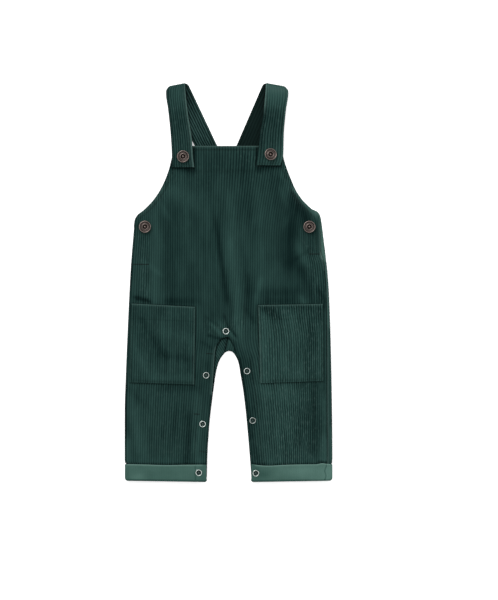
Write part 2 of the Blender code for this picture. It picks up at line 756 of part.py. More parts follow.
def cuff(name, side, surface):
    """The turned-up leg end, wrong side out: round the leg from the inseam's front to its back edge."""
    inner = front_inseam_left if side < 0 else front_inseam_right
    outline = CUFF_OUTLINE - HALF
    middle_y = (CUFF_TOP + CUFF_BOTTOM) / 2
    low = BACK_LAYER
    high = SIDE_LAYER + STACK + RIBBED_STACK
    round_by = (high - low) / 2
    band = []
    inner_x = inner(middle_y)
    arc_x = side * (outline - round_by)
    for share in (0, 0.03, 0.1, 0.2, 0.27, 0.45, 0.65, 0.85, 0.97):
        x = inner_x + (arc_x - inner_x) * share
        band.append((x, None, Vector((0, 1)), (RIBBED_STACK / 2)))
    for step in range(CUFF_ARC_STEPS + 1):
        turn = math.pi * step / CUFF_ARC_STEPS
        way = Vector((side * math.sin(turn), math.cos(turn)))
        place = Vector((arc_x, low + round_by)) + way * round_by
        fold_round = RIBBED_STACK / 2 + (STACK - RIBBED_STACK) / 2 * step / CUFF_ARC_STEPS
        band.append((place.x, place.y, way, fold_round))
    for share in (0.8, 0.55, 0.3, 0.0):
        band.append((inner_x + (arc_x - inner_x) * share, low, Vector((0, -1)), STACK / 2))

    grid = []
    for x, z, way, fold_round in band:
        line = []
        near_end = min(abs(x - side * outline), abs(x - inner_x) + 0.6)
        rise = CUFF_CORNER * (1 - math.sqrt(1 - max(0.0, 1 - near_end / CUFF_CORNER) ** 2))
        bottom = CUFF_BOTTOM + CUFF_SLOPE * (abs(x) - abs(inner_x)) + HALF + fold_round + 0.6 * rise
        for y in (CUFF_TOP, CUFF_TOP - 4, middle_y, bottom):
            lie = z if z is not None else front_layer(x, y) + RIBBED_STACK
            line.append((x, y, lie))
        lie = line[-1][2]
        for step in range(1, 5):
            turn = math.pi * step / 4
            inward = fold_round * (1 - math.cos(turn))
            line.append(
                (x - way.x * inward, bottom - fold_round * math.sin(turn), lie - way.y * inward)
            )
        grid.append(line)
    return plain_wall(name, grid, surface)


def button_profile():
    """Half the section of a cast button: rim, ring groove, inner ring and a sunk centre with a dome."""
    radius, tall = BUTTON_DIAMETER / 2, BUTTON_HEIGHT
    return [
        (0, -SHANK_HEIGHT),
        (SHANK_DIAMETER / 2, -SHANK_HEIGHT),
        (SHANK_DIAMETER / 2, 0),
        (radius * 0.8, 0),
        (radius, tall * 0.3),
        (radius, tall * 0.75),
        (radius * 0.93, tall),
        (radius * 0.82, tall * 0.86),
        (radius * 0.58, tall * 0.7),
        (radius * 0.48, tall * 0.84),
        (radius * 0.34, tall * 0.55),
        (radius * 0.2, tall * 0.48),
        (0, tall * 0.66),
    ]


def snap_profile():
    """The section of a ring snap's prong ring: flat below and domed above."""
    outer, inner, tall = SNAP_DIAMETER / 2, SNAP_HOLE / 2, SNAP_HEIGHT
    return [
        (outer, 0),
        (outer, tall * 0.45),
        (outer - 0.45, tall * 0.95),
        (inner + 0.45, tall * 0.95),
        (inner, tall * 0.35),
        (inner, 0),
    ]


def build():
    for old in list(bpy.data.objects):
        bpy.data.objects.remove(old)
    corduroy = material("corduroy", GREEN, 0.9)
    wrong_side = material("corduroy_wrong_side", WRONG_SIDE_GREEN, 0.85)
    bronze = material("antique_bronze", BRONZE, 0.42, 0.9)
    nickel = material("nickel", NICKEL, 0.3, 1.0)

    panel("back", BACK, corduroy)
    placket("placket_left", back_inseam_left, -1, LEFT_CROTCH, corduroy)
    placket("placket_right", back_inseam_right, 1, RIGHT_CROTCH, corduroy)
    panel("front", FRONT, corduroy)
    for cut in POCKETS:
        pocket(cut, corduroy)
    strap("strap_left", LEFT_STRAP_FRONT, LEFT_SHOULDER, corduroy, ribbed_back=True)
    strap("strap_right", RIGHT_STRAP_FRONT, RIGHT_SHOULDER, corduroy, ribbed_back=False)
    cuff("cuff_left", -1, wrong_side)
    cuff("cuff_right", 1, wrong_side)

    def on_strap(x, y):
        return front_top(x, y) + GAP + 2 * STRAP_HALF

    def on_cuff(x, y):
        return front_layer(x, y) + RIBBED_STACK + HALF

    button_feet = ((0, SHANK_HEIGHT), (SHANK_DIAMETER / 2, SHANK_HEIGHT), (BUTTON_DIAMETER / 2, 0))
    for spot in BUTTONS:
        top_at = on_strap if "bib" in spot.name else front_top
        seat(turned(spot.name, button_profile(), bronze, BUTTON_SIDES), spot, button_feet, top_at)
    snap_feet = ((SNAP_HOLE / 2, 0), (SNAP_DIAMETER / 2, 0))
    for spot in SNAPS:
        top_at = on_cuff if "cuff" in spot.name else front_top
        seat(turned(spot.name, snap_profile(), nickel, SNAP_SIDES), spot, snap_feet, top_at)


build()
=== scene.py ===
"""The looks of a toddler's corduroy bib overalls, laid flat on their back with the front up.

Numbers are millimetres in the part's own frame, and MM turns them into Blender's metres. X runs across the
garment, Y from the hems to the shoulders, and Z up from the surface that it lies on. Each panel of cloth is a
closed shell, ribbed on its right side, that stands for the plain panel of the frame: its wales, rolled edges,
hems, creases and stitching are all in its mesh. The buttons and ring snaps replace the frame's at their places.
"""

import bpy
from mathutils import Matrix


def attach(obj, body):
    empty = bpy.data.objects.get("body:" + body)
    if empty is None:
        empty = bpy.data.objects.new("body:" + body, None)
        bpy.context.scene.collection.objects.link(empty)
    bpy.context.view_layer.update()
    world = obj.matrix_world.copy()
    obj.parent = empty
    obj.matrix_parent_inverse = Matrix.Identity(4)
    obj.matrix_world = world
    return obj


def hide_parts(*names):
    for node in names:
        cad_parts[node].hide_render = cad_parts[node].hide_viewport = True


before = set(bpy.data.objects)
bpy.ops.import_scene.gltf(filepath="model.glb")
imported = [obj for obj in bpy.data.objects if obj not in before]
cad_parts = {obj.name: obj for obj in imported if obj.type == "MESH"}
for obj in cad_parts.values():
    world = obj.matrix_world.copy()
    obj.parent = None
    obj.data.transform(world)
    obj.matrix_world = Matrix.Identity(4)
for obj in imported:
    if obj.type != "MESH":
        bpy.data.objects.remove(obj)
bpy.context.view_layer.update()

import math
from collections import Counter, namedtuple

import bmesh
import bpy
import numpy as np
from mathutils import Matrix, Vector
from mathutils.kdtree import KDTree

MM = 0.001

# Cloth
CLOTH = 1.4
HALF = CLOTH / 2
WALE = 0.6  # a rib above the groove beside it
WALE_PITCH = 3.3
GAP = 0.35  # between pieces that touch
GROUND_CUT = 0.5  # the back's ribs are cut this deep into its own thickness, because it lies on them
EDGE_ROUND = 1.05  # how far in from its edge the cloth is full thickness
HEM = 6.0  # from an edge to the stitching of its hem
HEM_LIFT = 0.3  # the hem's folded layer
STITCH_SINK = 0.4  # the thread pulls the cloth down by this much
WALES_ON_POCKET = 28
WALES_ON_STRAP = 9
LAST_ON_STRAP = 2 * WALES_ON_STRAP  # the last column of a strap, in half wales
STRAP_WIDTH = 30.0
STRAP_CORE = 2.0
STRAP_HALF = STRAP_CORE / 2 + WALE * 0.8

# Heights along the garment
BIB_TOP = 191.0
UNDERARM = 84.0
OPENING_END = 46.0
SEAM_START = 19.0
LEG_FREE = -246.5
LEG_HELD = -253.5
CUFF_TOP = -254.7
LEG_END = -273.5
BACK_TOP = 175.4

# Layers, as heights of the middle of the cloth above the surface
BACK_LAYER = HALF
STACK = CLOTH + GAP
RIBBED_STACK = CLOTH + WALE + GAP
SIDE_LAYER = 4.25  # the front, away from its folds
SIDE_ROUND = 2.4  # its roll down at the left side seam
WRAP_ROUND = (SIDE_LAYER - BACK_LAYER) / 2
OUTER_SKIN = HALF + WALE / 2
SIDE_SLACK = SIDE_ROUND * (math.pi / 2 - 1)

PLACKET_WIDTH = 17.0
CROTCH_WIDER = 1.42  # the plackets run further in under the front at the crotch
PLACKET_OVER = 0.03  # and this share of their width past the back's edge
ARCH_ROUND = 17.0  # the crotch's arch
SHANK_DIAMETER = 6.0
SHANK_HEIGHT = 0.8
DOTS_ON_BUTTON = 22
POCKET_MOUTH_LIFT = 1.6
POCKET_EASE = 0.55
POCKET_HEM = 21.0
SEWN_IN = 2.2  # a pocket's stitching, from its edge
CUFF_OUTLINE_LEFT = 145.8
CUFF_OUTLINE_RIGHT = 144.8
CUFF_BOTTOM = -279.8
CUFF_TALL = 24.0
CUFF_SLOPE = 0.0155
CUFF_CORNER = 3.0

# The fine lattice of the cloth: four columns to a wale, and close ones where the cloth rolls over its edge.
COLUMN_STEP = 1 / 2  # in half wales
CLOSE_COLUMNS = (0.06, 0.18, 0.34)
CLOSE_ROWS = (0, 0.1, 0.3, 0.6, 1.05)
HEM_ROWS = (2.6, 4.3, 5.3, 6.0, 6.7, 8.2)
ROW_STEP = 3.0
LEAST_ROW = 0.9
FINE_ROWS = ((156, 168), (-39, -27), (-148, -137))  # beside the straps' ends and the pockets' edges
BENT_ROWS = ((-112, -36), (138, 174))  # where the wrong side needs every row: at the crotch and the straps
STEEPEST = 2.5  # rows near a steep edge are spread by this at most
EASED_OVER = 24.0  # the legs' lean runs on so far above where they part
BENT_OVER = 24.0  # half wales beside an edge that take up its bends
FAR_BELOW = 60.0  # columns whose ends are further apart lie on both sides of the crotch opening's edge
SAMPLE_STEP = 0.4  # between places that edges are measured from
TRY_ACROSS, TRY_ALONG = 0.25, 0.7  # small steps over which the cloth's slope is taken
HALVINGS = 40  # to find where a column ends

Row = namedtuple("Row", "height left right")
# A pocket's four corners, and how its wales crowd to its outer side and lean in at the mouth.
PocketCut = namedtuple("PocketCut", "name top_in top_out bottom_in bottom_out closer lean")
# The ends of a strap's fold at the shoulder, how far its back part runs in for each millimetre down, and by how
# much it widens there.
ShoulderFold = namedtuple("ShoulderFold", "outer_x outer_y inner_x inner_y run_in taper")
# Whether a strap's underside has ribs, and its tones: top_tone is painted highlight toward the shoulder, outer_tone
# painted highlight along the outer edge that turns to painted shade where it is below 0, worn_from where the neck
# edge's pale rim of wear and painted highlight starts, and neck_shade the painted shade along the neck edge.
StrapLook = namedtuple("StrapLook", "ribbed_back top_tone outer_tone worn_from neck_shade")
# The way across a placket's ribs, their width, height and tone.
Ribs = namedtuple("Ribs", "along_x along_y pitch height tone")


def heights(*rows):
    """Where the left and right edges are, by height."""
    return [Row(*row) for row in rows]


FRONT_SIDES = heights(
    (191, -74.6, 73.5), (175, -79.9, 76.2), (160, -83.6, 80.8), (145, -88.9, 86.6), (130, -96.1, 93.2),
    (115, -106.2, 103.3), (102, -118.6, 116.6), (93, -129.2, 125.4), (84, -132.6, 127.2), (70, -133.7, 127.6),
    (39, -136.3, 128.3), (26, -137.3, 132.6), (4, -138.6, 135.2), (-19, -139.8, 136.4), (-92, -143.1, 136.9),
    (-141, -145, 137.1), (-175, -146.1, 137.2), (-212, -146.2, 137.3), (-251, -146.2, 137.3),
    (-254.6, -143.2, 136.2), (-280, -142.4, 136.2),
)
# The lines that the front's wales run along where its sides bend more sharply.
FRONT_GUIDES = heights(
    (84, -137.7, 134.6), (20, -138.4, 135), (-60, -141, 136.4), (-141, -144.6, 137.1), (-280, -146.3, 137.4),
)
BACK_SIDES = heights(
    (175.4, -45, 44), (149, -54.5, 51.5), (125, -75, 71.5), (110, -98, 99), (104, -107.5, 113.5),
    (98, -116.5, 125.2), (92, -124.5, 128.3), (84, -131.3, 129.7), (60, -133.2, 132.8), (39, -134.9, 135.4),
    (17, -136.3, 138.1), (-19, -138.4, 140.7), (-92, -141.9, 143.2), (-191, -143.7, 144.9),
    (-251, -144.2, 145.3), (-254.6, -140.2, 143.2), (-280, -140.2, 142.5),
)
FRONT_INSEAM = heights(
    (-77, -3.7, -0.6), (-79, -10.5, 1.2), (-83, -13.6, 3.9), (-88, -16.8, 6.4), (-96, -19.4, 9.2),
    (-109, -20.5, 13.2), (-123, -21.5, 15.4), (-137, -22.5, 17.6), (-151, -23.6, 20.2), (-191, -27.2, 24.8),
    (-232, -30.4, 28.6), (-280, -31.7, 32.2),
)
BACK_INSEAM = heights(
    (-95.6, 0.8, 0.8), (-96.4, -2.6, 3.9), (-98.4, -5.8, 6.6), (-102, -9.2, 9.2), (-107, -12.6, 11.7),
    (-113, -15.3, 13.9), (-120.5, -17.4, 15.4), (-130, -19.4, 16.8), (-146, -21.6, 19.6), (-158, -23.2, 21.4),
    (-191, -27.2, 25), (-232, -30.4, 28.8), (-280, -31.7, 32.4),
)

# Folds, and bands of nap and painted light, are lines from (x, y) to (x, y), with their width and their rise or
# tone.
# These are the frame's soft folds of the front, then finer creases that only the looks have; the front's colour
# also takes painted highlight on their ridges and painted shade in their hollows.
FRONT_FOLDS = [
    (-91, 98, -95, -26, 7.5, 2.1), (-68, 70, -72, -28, 9, -0.9), (-35, 110, -38, -24, 11, 1.8),
    (-18, 84, -2, -48, 4.2, -1.9), (8, 92, 18, -64, 6.5, 2.2), (28, 4, 24, -50, 4, -1.5),
    (66, 118, 62, -20, 10, 2.5), (97, 104, 94, 8, 8.5, -1.4), (1, -62, 11, -76, 3.2, -1.2),
    (-24, -60, -13, -72, 4, 0.8), (-118, -58, -64, -106, 8, -0.9), (-112, -150, -98, -240, 15, 1.5),
    (-57, -182, -54, -244, 5, -1), (70, -50, 62, -236, 13, 1.6), (120, -140, 121, -238, 7.5, -1.1),
]
FINE_CREASES = [
    # fanned round the crotch snap
    (-24, -59, -14.5, -69.5, 2.6, 0.7), (-13.5, -70, -11.5, -75.5, 2.2, 0.5), (-27, -75, -12.5, -79.2, 2, -0.9),
    (-31, -50, -19, -60, 2.2, -0.4), (-6, -50, -2, -61.5, 2.6, -0.8), (-14, -56, -9, -62, 2.6, 0.5),
    (1.5, -64.5, 9.3, -75.5, 1.7, -1), (1, -71, 8.5, -78.5, 2.2, 0.7), (8, -50, 10, -62, 2.6, 0.5),
    # elsewhere
    (25, -40, 32, -50, 4.5, -0.5), (-24, -92, -38, -84, 2.2, -0.4), (112, 44, 96, 34, 3, -0.5),
    (-118, 28, -98, 12, 3.5, 0.4), (96, 118, 80, 84, 4, 0.4), (-100, 116, -86, 92, 4, 0.4),
]

# Soft bands of painted shade and painted highlight where the cloth turns to or from the light, and where its pile
# lies paler or darker.
NAP_AND_PAINTED_LIGHT_BODY = [
    # the bib and the left side
    (-5, 160, 35, 150, 42, -0.28), (-102, 98, -104.5, -25, 6, 0.5), (-80, 100, -80, -25, 11, -0.35),
    (-89, 132, -58, 116, 11, 0.6), (-94, 104, -88, 70, 8, -0.35), (-62, 104, -53, 34, 4, 0.2),
    (-40, 100, -30, -10, 22, -0.2), (-55, 20, -58, -10, 6, -0.25), (-86, -26, -50, -27, 5.5, -0.7),
    # the middle, from the bib to the crotch
    (0, 122, 3, 52, 6, 0.45), (3, 52, 15, -70, 6.5, 0.75), (-18, 80, -2.5, -21, 4.5, -0.75),
    (-2.5, -21, 8, -60, 4, -0.3), (24, 6, 28, -26, 6, -0.6),
    # the right side's hollow and ridges
    (22, 150, 26, 96, 8, -0.35), (40, 120, 40, 90, 6, 0.3), (46, 56, 47, -11, 6, 0.4),
    (44, 0, 39, -20, 4.5, 0.9), (66, 130, 69, 40, 8, -0.45), (88, 100, 84, 32, 10, -1),
    (80, 138, 90, 118, 5, -0.5), (96, 116, 113, 76, 8, -1), (104, 14, 118, -24, 8, -0.7),
    # above the pockets
    (58, -15, 86, -15, 9, -0.8), (57, -27, 86, -27, 5, -0.8), (127, -14, 131, -26, 5, -0.9),
    (98, 46, 106, 30, 6, 0.7), (101, -22, 104, -27, 3.5, 0.6),
    # the armholes
    (74, 150, 88, 118, 4, 0.8), (91, 131, 116, 101, 3.5, 1.9), (119, 98, 126, 89, 3, 1),
    (74, 128, 82, 108, 5, 0.5), (-122, 20, -116, -12, 7, 0.35), (-128, -22, -114, -26, 2.6, -2.2),
    # the left leg
    (13, -66, 20, -92, 3.5, 0.5), (-90, -148, -52, -148, 5, -0.45), (-141, -148, -115, -175, 5, -0.4),
    (-84, -152, -72, -212, 7, -0.3), (-56, -190, -60, -249, 5.5, -0.7), (-43, -165, -41, -249, 5, 0.5),
    (-133, -184, -122, -235, 9, 0.8), (-48, -232, -46, -246, 5, 0.7), (-137, -120, -137, -160, 5, 0.4),
    # the right leg
    (-141, -226, -140, -244, 5, 0.8), (120, -144, 119, -238, 5, -0.5), (134, -165, 134, -249, 4, 0.6),
    (52, -153, 86, -164, 10, 0.55), (76, -160, 70, -248, 13, 0.45), (66, -146, 80, -250, 30, 0.2),
    (88, -150, 104, -158, 8, 0.5), (16, -112, 31, -212, 4, -1.1), (134, -225, 133, -250, 6, 1),
    (100, -238, 124, -250, 7, 0.5), (32, -206, 44, -232, 6, 0.5), (108, -156, 118, -200, 10, -0.35),
    (31, -110, 38, -249, 4.5, -0.6), (129, -251.5, 142, -252.5, 2.6, -1.6), (-30, -118, -27, -134, 4, -0.5),
]
# Bands of painted light and shade on the pockets, with their nap, as above.
NAP_AND_PAINTED_LIGHT_POCKETS = [
    (70, -60, 74, -140, 32, 0.5), (88, -42, 100, -74, 7, 0.45), (49, -56, 50, -138, 8, 0.8),
    (60, -34, 110, -35, 5, -0.5), (82, -120, 108, -138, 9, 0.35), (51, -38, 62, -44, 7, -1.3),
    (96, -84, 98, -118, 7, 0.3), (113, -60, 114, -130, 4, -0.3), (128, -60, 129, -130, 4, 0.45),
    (-120, -56, -92, -98, 6, -0.55), (-90, -102, -52, -108, 6, -0.55), (-139, -80, -112, -128, 8, 0.4),
    (-100, -134, -54, -134, 6, 0.4), (-92, -70, -54, -79, 9, 0.4),
]
# Where the body's pile has been rubbed up, so that its ribs stand out and their tips are paler, and pressed flat.
RUBBED_BODY = [
    (-30, 160, 30, 160, 40, 0.3), (-112, 108, -84, 140, 9, 0.7), (84, 150, 92, 120, 8, 0.9),
    (20, 178, 36, 172, 7, 0.6), (-20, -62, 14, -60, 9, 0.9), (-120, 60, -118, -20, 9, 0.8),
    (112, 50, 126, -10, 10, 0.8), (84, 110, 82, 10, 16, -0.5), (-90, -170, -86, -250, 45, 0.5),
    (84, -160, 86, -250, 45, 1.5),
]
# The back's right side, where it has rolled up into sight: bands of painted highlight, and of painted shade by the
# front's edge at the side opening.
NAP_AND_PAINTED_LIGHT_SIDE = [
    (127.5, 88, 130, 66, 1.6, 0.9), (128, 96, 133, 60, 1.4, -1), (130.5, 66, 133.5, 30, 1.5, 0.5),
    (132, 58, 132.5, 44, 2.2, -0.7), (135.5, 38, 139.5, -60, 2.2, 1.5), (141.4, -60, 142.1, -196, 1.3, 0.4),
    (142.2, -206, 143, -246, 1.6, 1.9), (144, -80, 145.2, -198, 1.7, -1.2), (129.5, 46, 130.5, 28, 2, -1.4),
]

LEFT_STRAP_FRONT = heights(
    (160.7, -80, -48.4), (175.4, -79.9, -50.3), (199.2, -81, -51.7), (234.2, -84.3, -57.2), (271, -89.2, -61.4),
)
RIGHT_STRAP_FRONT = heights(
    (163.4, 38.8, 71.9), (178.2, 40.6, 76), (206.2, 43, 76.7), (234.2, 48, 79.1), (271, 51.6, 83.8),
)
LEFT_SHOULDER = ShoulderFold(-88.8, 274.3, -57.6, 280.5, 0.471, 4.8)
RIGHT_SHOULDER = ShoulderFold(83.8, 274.2, 48.0, 280.5, -0.431, 0.0)
STRAPS = (
    ("strap_left", LEFT_STRAP_FRONT, LEFT_SHOULDER, StrapLook(True, 0.4, -0.9, -0.3, 0.0)),
    ("strap_right", RIGHT_STRAP_FRONT, RIGHT_SHOULDER, StrapLook(False, 1.4, 1.0, 0.6, 0.9)),
)
STRAP_SEWN_AT = 163.5
STRAP_ROUND = 1.9
SHOULDER_CORNER = 5.0
STRAP_LOW = STRAP_HALF
STRAP_ON_BACK = CLOTH + GAP + STRAP_HALF

POCKETS = [
    PocketCut("pocket_left", (-47.1, -34.4), (-136.2, -29.8), (-48.5, -143.4), (-139.6, -140.3), 0.0, 0.0),
    PocketCut("pocket_right", (40.7, -31.9), (131.6, -30.4), (43.9, -141.4), (132.6, -138.3), 0.16, 0.06),
]

# The plackets at the crotch, as inner x and y, then outer x and y: they meet on a slant, and the right one
# comes over the arch.
LEFT_CROTCH = [(-6.1, -98.6, -1.7, -81.4), (-8.2, -100.9, -12.5, -85)]
RIGHT_CROTCH = [
    (-5.6, -98.2, -1.3, -81.2), (-2.6, -96.4, 0.8, -79.8), (0.8, -95.6, 3.6, -79.2), (3.9, -96.4, 9, -80.6),
    (6.6, -98.4, 15, -83.8), (9.2, -102, 20.6, -89.6),
]
CROTCH_STREAK = [(1.2, -82.5, 6.2, -91, 1.3, 0.9)]
DIAGONAL_RIBS = Ribs(0.84, 0.54, 3.0, 0.5, 0.1)
UPRIGHT_RIBS = Ribs(0.97, -0.24, 3.3, 0.06, 0.3)
PLACKET_ROWS = (-108, -116, -128, -146, -170, -200, LEG_FREE, LEG_HELD, LEG_END)

# Where the turn-ups are lighter or darker, partly painted light and shade and partly uneven tone: x, y, width,
# height and tone.
CUFF_SHADES = [
    (-127, -272, 9, 5, 0.7), (-142, -266, 3, 12, -0.5), (-80, -260, 22, 5, 0.35), (-100, -266, 20, 6, -0.15),
    (-36, -268, 5, 14, -0.35), (-90, -266, 60, 30, -0.35), (-70, -276, 30, 3.5, -0.2), (48, -268, 12, 9, -0.9),
    (36, -264, 7, 10, -0.8), (72, -274, 14, 4, -0.3), (72, -260, 8, 4, 0.2), (86, -262, 14, 8, 0.7),
    (124, -276, 16, 4, 0.5), (108, -264, 16, 10, 1), (122, -268, 5, 8, -0.25), (131, -267, 14, 12, 0.75),
    (139, -266, 5, 12, 1.3),
]

# Half sections of what is turned, each step a radius, a height and how bright it is, from wear and painted
# highlight.
BUTTON_SECTION = [
    (SHANK_DIAMETER / 2, -SHANK_HEIGHT, 0), (SHANK_DIAMETER / 2, 0, 0), (6.6, 0, 0.1), (7.6, 0.25, 0.3),
    (8.3, 0.9, 0.5), (8.5, 1.5, 0.6), (8.45, 2.1, 0.8), (8.2, 2.55, 1), (7.8, 2.75, 1), (7.35, 2.65, 0.7),
    (7, 2.3, 0.2), (6.7, 2.05, 0.1), (5.2, 1.95, 0.3), (4.6, 1.95, 0.2), (4.3, 2.15, 0.5), (3.95, 2.35, 0.8),
    (3.55, 2.3, 0.6), (3.2, 1.9, 0.1), (2.9, 1.5, 0), (1.7, 1.35, 0), (1.3, 1.4, 0.1), (1, 1.75, 0.6),
    (0.5, 1.9, 0.9),
]
SNAP_SECTION = [
    (4.1, 0, 0.3), (4.45, 0.15, 0.6), (4.5, 0.4, 1), (4.38, 0.68, 1), (4.15, 0.82, 1), (3.7, 0.77, 0.9),
    (3.43, 0.62, 0.5), (3.25, 0.35, 0.08), (3.15, 0.1, 0), (1.5, 0.06, 0), (1.2, 0.12, 0.02), (0.9, 0.3, 0.05),
    (0.4, 0.38, 0.08),
]

# How much less bright some ring snaps are than the others.
DIMMER_SNAPS = {"snap_left_thigh": 0.75, "snap_right_thigh": 0.8, "snap_right_shin": 0.6}

# Bar tacks, at the ends of the side openings and of the plackets' joins.
BAR_TACKS = (
    (-135.0, 25.2, -112.5, 25.2), (112.0, 39.6, 126.0, 39.6),
    (-32.0, -99.7, -23.0, -100.3), (-48.5, -184.3, -41.0, -184.6), (-41.0, -236.3, -32.5, -238.0),
)
STITCH_LENGTH = 2.3
STITCH_PITCH = 3.0
STITCH_WIDTH = 0.42
THREAD_RISE = 0.3  # of a stitch's middle over the cloth

# Marks that the cloth's materials read: pale rims of wear and painted highlight, nap with painted light and shade,
# pressing by stitches, and rubbed pile.
PILE_MARKS = ("Worn", "Nap", "Pressed", "Rubbed")
# Colours of the right side's pile. Groove is partly the cloth's own dark and partly painted shade in the grooves,
# Crest partly painted highlight on the ribs, and Rim the pale of worn edges with painted highlight.
GREEN = {"Groove": (0.0022, 0.0102, 0.0096), "Crest": (0.0205, 0.053, 0.0465), "Rim": (0.064, 0.115, 0.104)}
# A darker copy for the right strap's underside: painted shade.
SHADED_GREEN = {"Groove": (0.003, 0.0075, 0.0068), "Crest": (0.0062, 0.0145, 0.013), "Rim": (0.008, 0.018, 0.016)}
# A copy with darker grooves and paler crests for the left strap's underside: painted shade, with painted highlight
# on its ribs.
PAINTED_SHADE_AND_HIGHLIGHT_GREEN = {"Groove": (0.0012, 0.006, 0.0055), "Crest": (0.031, 0.073, 0.066), "Rim": (0.05, 0.1, 0.09)}
# The plain wrong side's own colours, with Rim the pale of worn edges and painted highlight.
PALE_GREEN = {"Dark": (0.022, 0.058, 0.048), "Pale": (0.072, 0.145, 0.122), "Rim": (0.115, 0.2, 0.172)}


# ---------------- curves and surfaces


def smooth(value, low, high):
    """0 below low and 1 above high, with an S-curve between."""
    t = np.clip((np.asarray(value, float) - low) / (high - low), 0, 1)
    return t * t * (3 - 2 * t)


def fading(distance, reach):
    """1 at a place, and softly down to 0 beyond reach."""
    return np.exp(-((np.asarray(distance) / reach) ** 2))


def between(start, end, share):
    return start + (end - start) * share


def curve_through(places, values):
    """A smooth curve through points, places rising, that never overshoots them."""
    places, values = np.array(places, float), np.array(values, float)
    rates = np.diff(values) / np.diff(places)
    before, after = rates[:-1], rates[1:]
    level = before * after <= 0
    turns = np.where(level, 0, 2 * before * after / np.where(level, 1, before + after))
    slopes = np.concatenate((rates[:1], turns, rates[-1:]))

    def at(place):
        place = np.clip(place, places[0], places[-1])
        i = np.clip(np.searchsorted(places, place, side="right") - 1, 0, len(places) - 2)
        step = places[i + 1] - places[i]
        t = (place - places[i]) / step
        straight = values[i] * (1 + 2 * t) * (1 - t) ** 2 + values[i + 1] * t * t * (3 - 2 * t)
        return straight + step * t * (1 - t) * (slopes[i] * (1 - t) - slopes[i + 1] * t)

    return at


def sides_of(rows):
    """Smooth curves through the left and the right side of a table, read by height."""
    return [curve_through(*zip(*sorted((row.height, row[side]) for row in rows))) for side in (1, 2)]


front_left, front_right = sides_of(FRONT_SIDES)
guide_left, guide_right = sides_of(FRONT_GUIDES)
back_left, back_right = sides_of(BACK_SIDES)
front_inseam_left, front_inseam_right = sides_of(FRONT_INSEAM)
back_inseam_left, back_inseam_right = sides_of(BACK_INSEAM)


def rise_of(folds, x, y):
    """How far soft folds lift or lower the cloth at places, or how strong soft bands are there."""
    total = np.zeros(np.broadcast(x, y).shape)
    for x0, y0, x1, y1, width, rise in folds:
        run_x, run_y = x1 - x0, y1 - y0
        length = math.hypot(run_x, run_y)
        share = ((x - x0) * run_x + (y - y0) * run_y) / length**2
        past = np.abs(share - np.clip(share, 0, 1)) * length
        across = np.hypot(x - x0 - share * run_x, y - y0 - share * run_y)
        total += rise * fading(across, width) * fading(past, 2 * width)
    return total


def ripple(x, y, reach=1.0):
    """Slight unevenness of cloth that has been worn and washed, between about -1 and 1."""
    broad = 0.5 * np.sin(x / (6.1 * reach) + 1.9 * np.sin(y / (23 * reach)))
    crosswise = 0.3 * np.sin(y / (9.7 * reach) + 1.3 * np.sin(x / (11 * reach) + 2))
    return broad + crosswise + 0.2 * np.sin((x + 0.8 * y) / (4.3 * reach) + 1)


def in_cuff(y):
    return 1 - smooth(y, LEG_HELD, LEG_FREE)


def back_layer(y):
    return BACK_LAYER + STACK * in_cuff(y)


def inseam_distance(x, y):
    """How far a place is outward of the crotch opening's edge."""
    top = BACK_INSEAM[0]
    on_arch = np.hypot(x - top.left, y - top.height + ARCH_ROUND) - ARCH_ROUND
    beside = np.maximum(back_inseam_left(y) - x, x - back_inseam_right(y))
    return np.where(y > top.height, on_arch, beside)


def under_front(x, y):
    """Top of what lies under the front panel: the back, the inseam plackets and the straps' ends."""
    top = back_layer(y) + HALF
    wide = PLACKET_WIDTH * (1 + (CROTCH_WIDER - 1) * smooth(y, -114, -101))
    on_placket = 1 - smooth(inseam_distance(x, y) - wide, 1, 7)
    on_straps = (1 - smooth(np.abs(x), 52, 68)) * smooth(y, 147, 160)
    return top + STACK * on_placket + (STRAP_ON_BACK + STRAP_HALF + 0.2 - top) * on_straps


def inside_front(x, y):
    """0 at the front's side edges and where its legs are held by the turn-ups, and 1 well inside."""
    return smooth(np.minimum(x - front_left(y), front_right(y) - x), 0, 13) * smooth(y, LEG_FREE, LEG_FREE + 20)


def front_layer(x, y):
    """Height of the middle of the front panel as the frame has it, folds included."""
    loose = SIDE_LAYER + STACK * in_cuff(y) + rise_of(FRONT_FOLDS, x, y) * inside_front(x, y)
    return np.maximum(loose, under_front(x, y) + GAP + HALF)


def front_middle(x, y):
    """The front with its finer creases, still clear of what lies under it and on it."""
    free = inside_front(x, y) * (1 - smooth(y, BIB_TOP - 40, BIB_TOP - 25))
    fine = (0.8 * rise_of(FINE_CREASES, x, y) + 0.22 * ripple(x, y)) * free * (1 - under_pocket(x, y))
    return np.maximum(front_layer(x, y) + fine, under_front(x, y) + GAP + HALF)


def under_pocket(x, y):
    """1 under a pocket and 0 a little way outside it."""
    covered = 0.0
    for cut in POCKETS:
        low_x, high_x = sorted((cut.top_in[0], cut.top_out[0]))
        inside = np.minimum(np.minimum(x - low_x, high_x - x), np.minimum(y - cut.bottom_in[1], cut.top_in[1] - y))
        covered = np.maximum(covered, smooth(inside, -4, 0))
    return covered


# ---------------- cloth shells


# A piece of cloth as a lattice: each column's place across the cloth, and its rows from the top down. near_top
# and near_low say how many rows at each end follow the edge, and wrong_rows which rows the wrong side has.
Lattice = namedtuple("Lattice", "columns rows near_top near_low wrong_rows")

# What is known of every knot of a piece: its place in the lattice, how far it is from the edge, and where it
# lies; and near, which measures from those parts of the edge that are wanted.
Cloth = namedtuple("Cloth", "column level depth x y z near")


